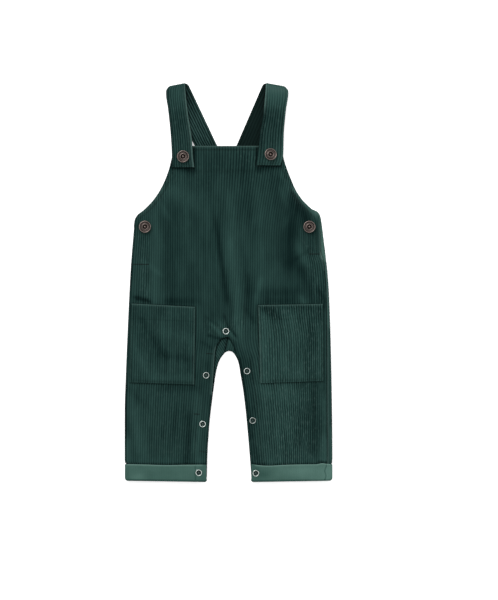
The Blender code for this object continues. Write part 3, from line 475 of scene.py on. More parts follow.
def strip_faces(first, second, near_top, near_low):
    """Faces between two columns of (level, vertex), from the top down.

    Rows that follow an edge are paired by their order, and the others by their level. Where one column ends
    far above the other, the other runs on below it as the cloth's edge.
    """
    if abs(first[-1][0] - second[-1][0]) > FAR_BELOW:
        near_low = 0
        lowest = max(first[-1][0], second[-1][0])
        ends = [next(k for k, (level, _) in enumerate(column) if level <= lowest) for column in (first, second)]
        first, second = first[: ends[0] + 1], second[: ends[1] + 1]
    i = j = 0
    last_i, last_j = len(first) - 1, len(second) - 1
    tail = max(near_low - 1, 0)
    while i < last_i or j < last_j:
        left_i, left_j = last_i - i, last_j - j
        paired = max(i, j) < near_top - 1 or (left_i == left_j and left_i <= tail)
        if not paired and left_i > tail and left_j > tail:
            down_i, down_j = first[i + 1][0], second[j + 1][0]
            paired = abs(down_i - down_j) < 0.6 * min(first[i][0] - down_i, second[j][0] - down_j)
        if paired:
            yield first[i][1], first[i + 1][1], second[j + 1][1], second[j][1]
            i, j = i + 1, j + 1
        elif left_j <= tail or (left_i > tail and first[i + 1][0] > second[j + 1][0]):
            yield first[i][1], first[i + 1][1], second[j][1]
            i += 1
        else:
            yield first[i][1], second[j + 1][1], second[j][1]
            j += 1


def sheet_faces(columns, near_top, near_low):
    return [face for pair in zip(columns, columns[1:]) for face in strip_faces(*pair, near_top, near_low)]


def boundary_of(faces):
    """The edges that only one face has, as pairs of vertices."""
    seen = Counter((min(pair), max(pair)) for face in faces for pair in zip(face, face[1:] + face[:1]))
    return [pair for pair, times in seen.items() if times == 1]


def from_nearest(samples, places):
    """How far each place is from the nearest sample."""
    tree = KDTree(len(samples))
    for k, sample in enumerate(samples):
        tree.insert(sample, k)
    tree.balance()
    return np.array([tree.find(place)[2] for place in places])


def from_edges(points, edges, wanted):
    """How far each point is from the chosen edges between them."""
    samples = []
    for a, b in edges:
        start, end = points[a], points[b]
        if wanted((start + end) / 2):
            steps = max(1, int(np.linalg.norm(end - start) / SAMPLE_STEP))
            samples += [between(start, end, k / steps) for k in range(steps + 1)]
    return from_nearest(samples, points) if samples else np.full(len(points), 1e3)


def from_line(corners, x, y, steps=8):
    """How far places are from a line through corners, measured from so many samples a stretch."""
    corners = np.array(corners, float)
    samples = [between(a, b, k / steps) for a, b in zip(corners, corners[1:]) for k in range(steps)] + [corners[-1]]
    places = [(*place, 0) for place in zip(np.ravel(x), np.ravel(y))]
    return from_nearest([(*sample, 0) for sample in samples], places)


def wale_shape(u):
    """A rib's height over its width: a round crest between narrow grooves."""
    return np.abs(np.sin(math.pi * u)) ** 0.7


def cloth_shell(name, lattice, place, dress, surfaces, turned=False):
    """Makes a closed shell of cloth on a lattice.

    place(column, level) gives the middle of the cloth. dress(cloth) gets what is known of every knot, and
    gives how far the cloth stands out on its right side and its wrong side, the marks that its material
    reads, and its place on the cloth's own map. The right side is the one from which columns run to the right
    and levels up, and turned gives the other.
    """
    last = lattice.columns[-1]
    where = place
    if turned:
        columns, rows, wrong_rows = (last - lattice.columns)[::-1], lattice.rows[::-1], lattice.wrong_rows[::-1]
        lattice = lattice._replace(columns=columns, rows=rows, wrong_rows=wrong_rows)

        def where(column, level):
            return place(last - column, level)

    counts = [len(rows) for rows in lattice.rows]
    starts = np.cumsum([0] + counts).tolist()
    total = starts[-1]
    column, level = np.repeat(lattice.columns, counts), np.concatenate(lattice.rows)
    knots = [list(zip(rows.tolist(), range(start, total))) for rows, start in zip(lattice.rows, starts)]
    right = sheet_faces(knots, lattice.near_top, lattice.near_low)

    middle = where(column, level)
    across = where(column + TRY_ACROSS, level) - where(column - TRY_ACROSS, level)
    along = where(column, level + TRY_ALONG) - where(column, level - TRY_ALONG)
    normal = np.cross(across, along)
    normal /= np.maximum(np.linalg.norm(normal, axis=1, keepdims=True), 1e-9)
    edges = boundary_of(right)
    on_edge = np.isin(np.arange(total), np.ravel(edges))
    depth = np.where(on_edge, 0, from_edges(middle, edges, lambda point: True))

    def near(wanted):
        return from_edges(middle, edges, wanted)

    cloth = Cloth(last - column if turned else column, level, depth, *middle.T, near)
    out_right, out_wrong, marks, (u, v) = dress(cloth)
    full = np.sqrt(np.clip(1 - (1 - np.clip(depth / EDGE_ROUND, 0, 1)) ** 2, 0, 1))
    outer = middle + normal * (out_right * full)[:, None]
    inner = middle - normal * (out_wrong * full)[:, None]

    partner = np.arange(total) + np.where(on_edge, 0, total)
    sparse = [
        [(height, int(partner[k])) for (height, k), kept in zip(rows, wrong_rows) if kept or on_edge[k]]
        for rows, wrong_rows in zip(knots, lattice.wrong_rows)
    ]
    wrong = [face[::-1] for face in sheet_faces(sparse, 0, 0)]
    used = np.unique(np.concatenate([np.ravel(face) for face in right + wrong]))
    renumber = np.zeros(2 * total, int)
    renumber[used] = np.arange(len(used))
    faces = [tuple(renumber[list(face)].tolist()) for face in right + wrong]
    mesh = bpy.data.meshes.new(name)
    mesh.from_pydata((np.concatenate((outer, inner)) * MM)[used].tolist(), [], faces)
    mesh.polygons.foreach_set("material_index", [0] * len(right) + [1] * len(wrong))
    for surface in surfaces:
        mesh.materials.append(surface)
    for mark, values in marks.items():
        attribute = mesh.attributes.new(mark, "FLOAT", "POINT")
        attribute.data.foreach_set("value", np.tile(values, 2)[used].astype(np.float32))
    loops = np.zeros(len(mesh.loops), np.int32)
    mesh.loops.foreach_get("vertex_index", loops)
    lies = np.tile(np.stack((u, v * MM), 1), (2, 1))[used]
    mesh.uv_layers.new(name="cloth").data.foreach_set("uv", lies[loops].astype(np.float32).ravel())
    return add_piece(name, mesh)


def add_piece(name, mesh):
    """Puts a closed mesh in the scene, smooth, with all its faces turned outwards."""
    shape = bmesh.new()
    shape.from_mesh(mesh)
    bmesh.ops.recalc_face_normals(shape, faces=shape.faces)
    shape.to_mesh(mesh)
    shape.free()
    mesh.shade_smooth()
    piece = bpy.data.objects.new(name, mesh)
    bpy.context.scene.collection.objects.link(piece)
    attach(piece, "root")
    return piece


def lattice_columns(last, closest=()):
    """Column places from 0 to last, with close ones beside the columns that are edges."""
    places = list(np.arange(0, last / COLUMN_STEP + 1) * COLUMN_STEP)
    for edge in {0, last, *closest}:
        places += [edge + side * step for step in CLOSE_COLUMNS for side in (-1, 1)]
    return np.array(sorted(place for place in places if 0 <= place <= last))


def column_rows(start, end, steep_top, steep_low, top_rows, low_rows, row_step):
    """One column's rows: those that follow its ends, and every level of the grid between them."""
    near_top = start - np.array(top_rows) * steep_top
    near_low = end + np.array(low_rows) * steep_low
    levels = np.arange(math.floor(start / row_step), math.ceil(end / row_step), -1) * row_step
    if row_step == ROW_STEP:
        fine = [np.arange(low, high + 0.1, 1.0) for low, high in FINE_ROWS]
        levels = np.unique(np.concatenate([levels] + fine))[::-1]
    levels = levels[(levels < near_top[-1] - LEAST_ROW) & (levels > near_low[-1] + LEAST_ROW)]
    return np.concatenate((near_top, levels, near_low[::-1]))


# How a panel is cut, as in the frame: half wales in the left leg, the crotch, the right leg and past its side,
# the edges as if there were no armholes, the lines that the wales follow beside them, how far the wales drift
# from those, the armholes, the inside legs and the height where they part, the top edge, and how flat cloth lies.
Pattern = namedtuple(
    "Pattern",
    "counts left right straight_left straight_right drift past armhole_left armhole_right inseam parting top lie",
)


def panel_lattice(pattern, row_step):
    """Where a panel's columns start and end, and its rows; with a function that places its knots."""
    inner_left, inner_right = sides_of(pattern.inseam)
    parting = pattern.parting
    ends = np.cumsum((0,) + pattern.counts)
    last = int(ends[-1])
    left, right = pattern.straight_left(parting), pattern.straight_right(parting)

    def leg_seam(inner, y):
        """A line between the legs, which leans on above the crotch as it does in the legs, and straightens."""
        share = (inner(parting) - left) / (right - left)
        lean = inner(parting + 0.5) - inner(parting - 0.5)
        rise = np.clip(y - parting, 0, EASED_OVER)
        eased = lean * rise * (1 - rise / (2 * EASED_OVER)) * (1 - smooth(y, -70, 30))
        above = between(pattern.straight_left(y), pattern.straight_right(y), share) + eased
        return np.where(y > parting, above, inner(y))

    def flat_x(column, y):
        left, right = pattern.straight_left(y), pattern.straight_right(y)
        seams = [left, leg_seam(inner_left, y), leg_seam(inner_right, y), right, right + pattern.past(y)]
        x = left
        for low, high, start, end in zip(seams, seams[1:], ends, ends[1:]):
            x = x + (high - low) * np.clip((column - start) / (end - start), 0, 1)
        x = x + pattern.drift(x, y)
        gone = pattern.right(y) - right - pattern.drift(right, np.minimum(y, UNDERARM))
        x = x + (pattern.left(y) - left) * (1 - smooth(column, 0, BENT_OVER))
        return x + gone * smooth(column, ends[3] - BENT_OVER, ends[3])

    columns = lattice_columns(last, {int(ends[1]), int(ends[2])})
    level = np.ones(len(columns))

    def top_room(y):
        x = flat_x(columns, y)
        return np.minimum(x - pattern.armhole_left(y), pattern.armhole_right(y) - x)

    def arch_room(y):
        x = flat_x(columns, y)
        return np.maximum(inner_left(y) - x, x - inner_right(y))

    top, arch = pattern.top * level, pattern.inseam[0].height * level
    start = np.where(top_room(top) > 0, top, crossing(top_room, UNDERARM * level, top))
    at_arch = (columns > ends[1]) & (columns < ends[2])
    cut = crossing(lambda y: -arch_room(y), parting * level, arch)
    end = np.where(at_arch, np.where(arch_room(arch) <= 0, arch, cut), LEG_END)

    def steepness(height, chosen):
        slope = np.gradient(height[chosen], flat_x(columns, height)[chosen])
        spread = np.ones(len(columns))
        spread[chosen] = np.minimum(np.hypot(1, slope), STEEPEST)
        return spread

    spans = zip(start, end, steepness(start, level > 0), steepness(end, at_arch))
    top_rows = CLOSE_ROWS + HEM_ROWS
    rows = [column_rows(*span, top_rows, CLOSE_ROWS, row_step) for span in spans]
    wrong_rows = []
    for levels in rows:
        on_grid = np.isclose(levels % (8 * ROW_STEP), 0)
        for low, high in BENT_ROWS:
            on_grid |= np.isclose(levels % ROW_STEP, 0) & (levels > low) & (levels < high)
        on_grid[[0, 2, len(top_rows) - 1, -3, -1]] = True
        wrong_rows.append(on_grid)
    lattice = Lattice(columns, rows, len(top_rows), len(CLOSE_ROWS), wrong_rows)
    return lattice, lambda column, y: np.stack(pattern.lie(flat_x(column, y), y), 1)


def crossing(room_at, inside, outside):
    """For each column, the height between one inside the cloth and one outside it where the room runs out."""
    held = room_at(inside) <= 0
    low, high = inside.copy(), outside.copy()
    for _ in range(HALVINGS):
        halfway = (low + high) / 2
        clear = room_at(halfway) > 0
        low, high = np.where(clear, halfway, low), np.where(clear, high, halfway)
    return np.where(held, inside, low)


def grid_lattice(columns, rows, coarse):
    """The same rows in every column, of which the wrong side has one in so many."""
    wrong_rows = np.arange(len(rows)) % coarse == 0
    wrong_rows[[0, 2, -3, -1]] = True
    count = len(columns)
    return Lattice(np.array(columns, float), [np.array(rows, float)] * count, 0, 0, [wrong_rows] * count)


def hem_dress(distance, at=HEM):
    """Lift of a hem's folded layer, and how hard its stitching presses the cloth."""
    return HEM_LIFT * (1 - smooth(distance, at - 0.9, at + 0.6)), fading(distance - at, 0.8)


def ribbed(cloth, pressed, height=WALE):
    """How high the ribs stand, lower where stitching presses them."""
    return height * wale_shape(cloth.column / 2) * (1 - 0.55 * pressed)


def rim_wear_and_highlight(depth, reach=1.3):
    """How bright the cloth is at its turned edges, from wear and painted highlight."""
    return np.exp(-((depth / reach) ** 1.5))


# ---------------- the panels


def straight(side, by=0.0):
    """A panel's side as if it had no armhole, moved by so much."""
    return lambda y: side(np.minimum(y, UNDERARM)) + by


def front_lie(flat_x, y):
    """Where the front's flat cloth comes to lie: on its folds, and rolled down at the left side seam."""
    edge = straight(front_left, OUTER_SKIN)(y)
    turn = np.maximum(0.0, (edge + SIDE_ROUND - flat_x) / SIDE_ROUND)
    x = np.where(turn > 0, edge + SIDE_ROUND * (1 - np.sin(turn)), flat_x)
    return x, y, front_middle(x, y) - SIDE_ROUND * (1 - np.cos(turn))


def front_drift(x, y):
    """How far the front's wales drift: they fan out to the right strap, and close up by the right side seam."""
    share = np.clip((x - 30) / 106, 0, 1)
    return 16 * smooth(x, -45, 60) * smooth(y, 55, 195) + 17 * share * (1 - share) * smooth(-y, 10, 120)


def back_fold(y):
    """Where the back's right side starts to roll up, how much cloth lies past there, and how closed it is."""
    y = np.minimum(y, UNDERARM)
    flat_end = back_right(y) - OUTER_SKIN - WRAP_ROUND
    closed = smooth(-y, -OPENING_END, -SEAM_START)
    closed_past = WRAP_ROUND * math.pi + flat_end - (front_right(y) + GAP)
    return flat_end, between(OUTER_SKIN + WRAP_ROUND, closed_past, closed**2), closed


def back_lie(flat_x, y):
    """Where the back's flat cloth comes to lie: on the surface, and up over the right side to the seam."""
    flat_end, _, closed = back_fold(y)
    past = np.maximum(flat_x - flat_end, 0)
    turn = np.minimum(past / WRAP_ROUND, math.pi * closed)
    beyond = past - turn * WRAP_ROUND
    rolled_x = flat_end + WRAP_ROUND * np.sin(turn) + beyond * np.cos(math.pi * closed)
    rolled_z = WRAP_ROUND * (1 - np.cos(turn)) + beyond * np.sin(math.pi * closed)
    on_flat = flat_x <= flat_end
    return np.where(on_flat, flat_x, rolled_x), y, back_layer(y) + np.where(on_flat, 0, rolled_z)


FRONT = Pattern(
    counts=(73, 17, 76), left=straight(front_left, OUTER_SKIN - SIDE_SLACK), right=straight(front_right),
    straight_left=straight(guide_left, OUTER_SKIN - SIDE_SLACK), straight_right=straight(guide_right),
    drift=front_drift, past=lambda y: 0 * y, armhole_left=front_left, armhole_right=front_right,
    inseam=FRONT_INSEAM, parting=-96.0, top=BIB_TOP, lie=front_lie,
)
BACK = Pattern(
    counts=(77, 18, 76, 8), left=straight(back_left), right=lambda y: back_fold(y)[0],
    straight_left=straight(back_left), straight_right=lambda y: back_fold(y)[0],
    drift=lambda x, y: 0 * x, past=lambda y: back_fold(y)[1], armhole_left=back_left, armhole_right=back_right,
    inseam=BACK_INSEAM, parting=-113.0, top=BACK_TOP, lie=back_lie,
)


def beside_pockets(x, y):
    """How far a place is outside the nearest pocket's outline."""
    nearest = np.full(len(x), 1e3)
    for cut in POCKETS:
        corners = [cut.top_in, cut.top_out, cut.bottom_out, cut.bottom_in, cut.top_in]
        close = (y < cut.top_in[1] + 8) & (y > cut.bottom_in[1] - 8)
        nearest[close] = np.minimum(nearest[close], from_line(corners, x[close], y[close], 320))
    return nearest


def below_straps(x, y):
    """How strongly the ends of the straps shade the bib."""
    shade = 0.0
    for height, left, right in (LEFT_STRAP_FRONT[0], RIGHT_STRAP_FRONT[0]):
        beside = np.maximum(np.maximum(left - x, x - right), 0)
        inward = np.clip((x - left if left < 0 else right - x) / 31, 0, 1)
        shade = np.maximum(shade, fading(beside, 2.0) * fading(np.maximum(height - y, 0), 3.0 + 4.0 * inward))
    return shade


def above_cuffs(x, y):
    """How strongly the turn-ups shade the legs just above their top edges."""
    edge = CUFF_TOP + np.where(x < 0, LEFT_TOP_EDGE(x), RIGHT_TOP_EDGE(x))
    return fading(np.maximum(y - edge, 0), 1.8)


def dress_front(cloth):
    """The front's wales, its hems at bib, armholes and side openings, and its inside legs' plackets."""
    x, y = cloth.x, cloth.y
    lift, pressed = hem_dress(cloth.near(lambda p: p[1] > UNDERARM - 2 or (p[1] > OPENING_END and p[0] > 0)))
    inseam = cloth.near(lambda p: p[1] < -76 and -33 < p[0] < 34)
    placket_lift, placket_pressed = hem_dress(inseam, PLACKET_WIDTH)
    in_leg = 1 - smooth(y, -112, -100)
    pressed = np.maximum.reduce((pressed, placket_pressed * in_leg, 0.5 * fading(inseam - 2.2, 0.6)))
    right = HALF + ribbed(cloth, pressed) + lift + 0.6 * placket_lift * in_leg - STITCH_SINK * pressed
    # Pale rims at the bib's top, the side opening, the thigh edge and the armholes: partly wear and partly painted
    # highlight, painted brighter at the right armhole than the left.
    bib_top = rim_wear_and_highlight(cloth.near(lambda p: p[1] > BIB_TOP - 1))
    opening = rim_wear_and_highlight(cloth.near(lambda p: 18 < p[1] < UNDERARM and p[0] > 0))
    thigh = rim_wear_and_highlight(cloth.near(lambda p: -40 < p[0] < -12 and -155 < p[1] < -92), 1.8)
    armhole = rim_wear_and_highlight(cloth.near(lambda p: 97 < p[1] < 132 and abs(p[0]) > 85), 3.2)
    worn = np.maximum.reduce((bib_top, 0.6 * opening, 0.9 * thigh, np.where(x > 0, 0.7, 0.3) * armhole))
    # Painted light and shade over the front: its bands, and highlight on the ridges of its folds and creases with
    # shade in their hollows.
    nap = rise_of(NAP_AND_PAINTED_LIGHT_BODY, x, y) + 0.1 * rise_of(FRONT_FOLDS, x, y) + 1.1 * rise_of(FINE_CREASES, x, y)
    # Painted shadow beside the pockets, under the straps' ends and above the turn-ups, and painted shade where the
    # front rolls under at its left side and all along its edges.
    pocket_shadow = fading(beside_pockets(x, y), 1.3) * (1 - 0.6 * smooth(-y, 134, 139))
    pocket_shadow = pocket_shadow * (1 - 0.85 * smooth(x, 108, 130)) * (1 - 0.7 * smooth(-x, 134, 140))
    painted_contact_shadow = 0.9 * pocket_shadow + 1.5 * below_straps(x, y) + 1.5 * above_cuffs(x, y)
    rolled_under_shade = fading(x - front_left(y) - OUTER_SKIN, 1.8) * (y < UNDERARM)
    rolled_under_shade = rolled_under_shade * (0.3 + 2.1 * fading(y + 185, 40) + 1.9 * fading(y - 12, 18))
    outline = 0.7 * fading(cloth.depth, 1.5) * (1 - np.clip(worn, 0, 1)) + rolled_under_shade
    nap = np.clip(nap, -1.4, 1.3) - painted_contact_shadow - outline
    rubbed = np.clip(rise_of(RUBBED_BODY, x, y), -0.5, 1.5)
    return right, HALF, dict(worn=worn, nap=nap, pressed=pressed, rubbed=rubbed), (cloth.column / 2, cloth.level)


def dress_back(cloth):
    """The back's ribs, on its underside, and the same on the side that rolls over to the front."""
    x, y, rolled = cloth.x, cloth.y, cloth.z > BACK_LAYER + 1
    _, pressed = hem_dress(cloth.near(lambda p: p[1] > OPENING_END))
    squeezed = 1 - smooth(cloth.column, 171, 172) * (1 - back_fold(cloth.level)[2])
    sunk = GROUND_CUT * squeezed * (1 - wale_shape(cloth.column / 2) * (1 - 0.5 * pressed))
    # On the rolled side, bands of painted light and shade; elsewhere painted shade round the crotch opening and at
    # all edges. The pale dots by the seam are wear and painted highlight.
    nap = np.where(rolled, rise_of(NAP_AND_PAINTED_LIGHT_SIDE, x, y), -2.5 * fading(np.hypot(x + 4, y + 90), 14))
    seam_dots = 0.6 * fading(x - front_right(y) - 1.6, 1.0) * smooth(-y, -50, -20)
    marks = dict(worn=np.where(rolled, seam_dots, 0), nap=nap - 0.4 * fading(cloth.depth, 1.2), pressed=pressed)
    return HALF - sunk, HALF, marks, (cloth.column / 2, cloth.level)


# ---------------- pockets, straps, plackets, turn-ups


def pocket(cut, surfaces):
    """A patch pocket with a deep hem at its mouth, sewn on at its sides and bottom, standing a little open."""
    last, at_left = 2 * WALES_ON_POCKET, cut.top_in[0] < 0
    length = cut.top_in[1] - cut.bottom_in[1]
    close = list(CLOSE_ROWS + (1.7, 2.2, 2.8))
    hem = [POCKET_HEM + d for d in (-2, -0.7, 0, 0.7, 2)]
    middle = [d for d in np.arange(ROW_STEP + 1, length - 4, ROW_STEP) if min(abs(d - h) for h in hem) > 1.2]
    downs = sorted(close + hem + middle + [length - d for d in close])

    def place(column, level):
        share, down = column / last, -level / length
        lean = cut.lean * np.sin(math.pi * np.clip(share, 0, 1)) * (1 - smooth(down, 0, 0.5))
        share = share + share * (1 - share) * cut.closer - lean
        corners = zip(cut.top_in, cut.top_out, cut.bottom_in, cut.bottom_out)
        x, y = (between(between(a, b, share), between(c, d, share), down) for a, b, c, d in corners)
        arch = np.maximum(np.sin(math.pi * np.clip(share, 0, 1)), 0) ** 0.7
        open_by = POCKET_MOUTH_LIFT * arch * (1 - smooth(down, 0, 0.4))
        inside = smooth(60 * np.minimum(np.minimum(share, 1 - share), np.minimum(down, 1 - down)), 1, 10)
        lift = POCKET_EASE + open_by + 0.35 * inside * ripple(x, y, 1.6)
        return np.stack((x, y, front_layer(x, y) + RIBBED_STACK + lift), 1)

    def dress(cloth):
        down = -cloth.level
        sewn = cloth.near(lambda p: p[1] < cut.top_in[1] - 4)
        pressed = np.maximum(fading(sewn - SEWN_IN, 0.6), 0.35 * fading(down - POCKET_HEM, 0.7))
        hem_lift = 0.15 * (1 - smooth(down, POCKET_HEM - 2, POCKET_HEM + 1))
        # Pale rims at the mouth and sides, of wear and painted highlight, and the pockets' bands of painted light
        # and shade.
        worn = np.maximum(0.7 * rim_wear_and_highlight(down, 1.5), 0.6 * rim_wear_and_highlight(cloth.column * WALE_PITCH / 2, 1.6))
        rubbed = np.full(len(down), 0.4 if at_left else 1.1)
        marks = dict(worn=worn, nap=rise_of(NAP_AND_PAINTED_LIGHT_POCKETS, cloth.x, cloth.y), pressed=pressed, rubbed=rubbed)
        right = HALF + ribbed(cloth, pressed) + hem_lift - STITCH_SINK * pressed
        return right, HALF, marks, (cloth.column / 2, cloth.level)

    lattice = grid_lattice(lattice_columns(last), [-d for d in downs], 3)
    return cloth_shell("patch_" + cut.name, lattice, place, dress, surfaces, turned=at_left)


def strap_place(rows, fold):
    """A strap's middle surface over its length: the front part, the shoulder fold and the back part.

    Level 0 is the buttoned end, -1 the start of the fold, -2 its end, and -3 the end on the back.
    """
    left_at, right_at = sides_of(rows)
    outer_at, inner_at = (left_at, right_at) if fold.outer_x < 0 else (right_at, left_at)
    way = Vector((fold.inner_x - fold.outer_x, fold.inner_y - fold.outer_y)).normalized()
    beyond = Vector((-way.y, way.x)) * math.copysign(1, way.x)
    reach = STRAP_ROUND + STRAP_HALF
    front_length = fold.outer_y - rows[0].height

    def drawn_in(along, radius):
        """How far the edge is drawn in at a corner of the shoulder fold, as a share of the width."""
        from_top = np.abs(along - 1.5)
        from_fold = np.maximum(from_top - 0.5, 0) * front_length + 1.2 * np.minimum(2 * from_top, 1)
        return radius * (1 - np.sqrt(1 - np.clip(1 - from_fold / radius, 0, 1) ** 2)) / STRAP_WIDTH

    def place(column, level):
        along = -level
        outer, inner = drawn_in(along, SHOULDER_CORNER), drawn_in(along, SHOULDER_CORNER / 2)
        share = outer + column / LAST_ON_STRAP * (1 - outer - inner)
        fold_x = between(fold.outer_x, fold.inner_x, share) - beyond.x * reach
        fold_y = between(fold.outer_y, fold.inner_y, share) - beyond.y * reach
        part, over, back = (np.clip(along - start, 0, 1) for start in (0, 1, 2))
        y1 = between(rows[0].height, fold_y, part)
        unbent = between(outer_at(y1), inner_at(y1), share)
        upright = np.clip(share, 0, 1) ** 3
        x1 = between(unbent, fold_x, smooth(part, 0.76, 1.0) * (1 - upright))
        on_bib = front_layer(x1, np.minimum(y1, BIB_TOP)) + HALF + WALE + GAP + STRAP_HALF
        z1 = between(on_bib, STRAP_LOW + 2 * STRAP_ROUND, smooth(y1, BIB_TOP + 3, 258))
        turn = math.pi * over
        x2 = fold_x + (unbent - fold_x) * upright * (1 - over) + beyond.x * STRAP_ROUND * np.sin(turn)
        y2 = fold_y + beyond.y * STRAP_ROUND * np.sin(turn)
        z2 = STRAP_LOW + STRAP_ROUND * (1 + np.cos(turn))
        y3 = between(fold_y, STRAP_SEWN_AT, back)
        x3 = fold_x + (fold_y - y3) * fold.run_in + fold.taper * (1 - share) * back**2
        z3 = between(STRAP_ON_BACK, STRAP_LOW, smooth(y3, BACK_TOP + 3, BACK_TOP + 22))
        one, two, three = (np.stack(part, 1) for part in ((x1, y1, z1), (x2, y2, z2), (x3, y3, z3)))
        along = along[:, None]
        return np.where(along <= 1, one, np.where(along >= 2, three, two))

    return place


def strap(name, rows, fold, look, surfaces):
    """A doubled strap: both edges seamed and topstitched, its buttoned end turned in, with painted highlight over
    the shoulder.
    """
    front_length = fold.outer_y - rows[0].height
    back_length = (fold.outer_y - STRAP_SEWN_AT) * math.hypot(1, fold.run_in)
    near = np.array(CLOSE_ROWS + (1.7, 2.2, 2.8, 4.4))
    by_fold = front_length - np.array((5, 4.2, 3.4, 2.6, 1.8, 1.1, 0.5))
    front = np.concatenate((near, np.arange(6, front_length - 6, 2.5), by_fold)) / front_length
    back = np.concatenate((np.arange(2.5, back_length - 6, 2.5), back_length - near[::-1])) / back_length
    levels = -np.concatenate((front, 1 + np.arange(13) / 12, 2 + back))

    def dress(cloth):
        along, from_outer = -cloth.level, cloth.column * STRAP_WIDTH / LAST_ON_STRAP
        from_neck, length = STRAP_WIDTH - from_outer, along * front_length
        pressed = np.maximum(fading(np.minimum(from_outer, from_neck) - 2.3, 0.6), fading(length - 2.5, 0.6))
        plain = STRAP_CORE / 2 - 0.3 * pressed
        out = plain + ribbed(cloth, pressed, 0.8 * WALE)
        # Painted light on the strap: a pale neck rim of wear and painted highlight, painted highlight toward the
        # shoulder and at the buttoned end, painted shade on its back part, and the outer and neck edges as its look
        # gives.
        to_neck = 1.25 * rim_wear_and_highlight(from_neck, 2.0) * smooth(along, look.worn_from, look.worn_from + 0.2)
        up_front = smooth(along, 0.62, 0.95) * (1 - smooth(along, 1.4, 1.7))
        behind = smooth(along, 1.5, 1.9) * (1 - 0.75 * fading(along - 2.46, 0.19))
        behind = behind + 0.5 * fading(along - 2.05, 0.14)
        by_end = (0.2 + min(look.outer_tone, 0.4) * from_neck / STRAP_WIDTH) * fading(along - 0.08, 0.14)
        outer = look.outer_tone * fading(cloth.column, 1.2) * (1 - smooth(along, 1.0, 1.2))
        at_neck = fading(from_neck, 4.0) * (1 - smooth(along, 0.8, 0.98)) * smooth(along, 0.1, 0.3)
        nap = look.top_tone * up_front - 0.8 * behind + outer + by_end - 0.35 * fading(along - 0.5, 0.2)
        rubbed = 0.6 + 0.2 * look.ribbed_back * smooth(along, 1.8, 2.1)
        worn = to_neck * (1 - 0.8 * smooth(along, 1.0, 1.5))
        worn = worn + max(look.top_tone - 1, 0) * fading(along - 0.98, 0.07)
        marks = dict(worn=worn, nap=nap - look.neck_shade * at_neck, pressed=pressed, rubbed=rubbed)
        return out, out if look.ribbed_back else plain, marks, (cloth.column / 2, length)

    lattice = grid_lattice(lattice_columns(LAST_ON_STRAP), levels, 1)
    return cloth_shell(name, lattice, strap_place(rows, fold), dress, surfaces, turned=fold.outer_x < 0)


def placket(name, edge_at, side, crotch, ribs, surfaces):
    """The strip that finishes the back's inside leg and lies under the front's snaps."""
    strips = [(x0, y0, between(x0, x1, CROTCH_WIDER), between(y0, y1, CROTCH_WIDER)) for x0, y0, x1, y1 in crotch]
    for y in PLACKET_ROWS:
        edge, run = float(edge_at(y)), float(edge_at(y + 1) - edge_at(y - 1))
        outward = Vector((2, -run)).normalized() * side * PLACKET_WIDTH
        strips.append((edge, y, edge + outward.x, y + outward.y * float(1 - smooth(-y, 150, 220))))
    gone = np.cumsum([0] + [math.dist(a[:2], b[:2]) for a, b in zip(strips, strips[1:])])
    tracks = [curve_through(gone, values) for values in zip(*strips)]

    def place(column, level):
        held = np.clip(column, 0, PLACKET_WIDTH)
        share = held / PLACKET_WIDTH * (1 + PLACKET_OVER) - PLACKET_OVER
        inner_x, inner_y, outer_x, outer_y = (track(-level) for track in tracks)
        y = between(inner_y, outer_y, share)
        return np.stack((between(inner_x, outer_x, share) + column - held, y, back_layer(y) + STACK), 1)

    def dress(cloth):
        x, y = cloth.x, cloth.y
        u = (x * ribs.along_x + y * ribs.along_y) / ribs.pitch
        shade = 2.2 * fading(front_edge_distance(x, y), 1.7) + 1.4 * fading(cloth.column, 1.1)
        shade = shade + 1.8 * fading(cloth.level, 1.0)
        if side > 0:
            shade = shade * (1 - 0.75 * smooth(-y, 94, 102)) - rise_of(CROTCH_STREAK, x, y)
        marks = dict(worn=0 * u, nap=ribs.tone - shade, pressed=0 * u, rubbed=ribs.height + 0 * u)
        v = y * ribs.along_x - x * ribs.along_y
        return HALF - ribs.height + ribs.height * wale_shape(u), HALF, marks, (u, v)

    shown = 62.0  # the crotch opening shows this much of it, which has a fine lattice
    rows = ([0, 0.15, 0.5, 1.0], np.arange(1.6, shown, 0.6), np.arange(shown, gone[-1] - 1, 3), gone[-1:])
    columns = ([0, 0.12, 0.35], np.arange(0.7, PLACKET_WIDTH - 0.6, 0.55), [PLACKET_WIDTH - 0.35, PLACKET_WIDTH])
    lattice = grid_lattice(np.concatenate(columns), -np.concatenate(rows), 2)
    return cloth_shell(name, lattice, place, dress, surfaces, turned=side < 0)


def front_edge_distance(x, y):
    """How far a place is from the front panel's edge along the inside legs."""
    down = np.concatenate((np.linspace(-77, -96, 24), np.linspace(-98, -270, 60)))
    left, right = (list(zip(edge(down), down)) for edge in (front_inseam_left, front_inseam_right))
    return from_line(left[::-1] + right, x, y)


# How the turn-ups' top edges wave, as height above their sewn line by x.
LEFT_TOP_EDGE = curve_through((-144, -115, -85, -60, -31), (0.3, -0.3, -1.1, -0.6, -0.4))
RIGHT_TOP_EDGE = curve_through(
    (31, 42, 56, 75, 96, 122, 131, 135, 144), (0.6, -1.2, -1.9, -0.9, -0.2, 0.1, 1.6, 0.9, 0.3)
)


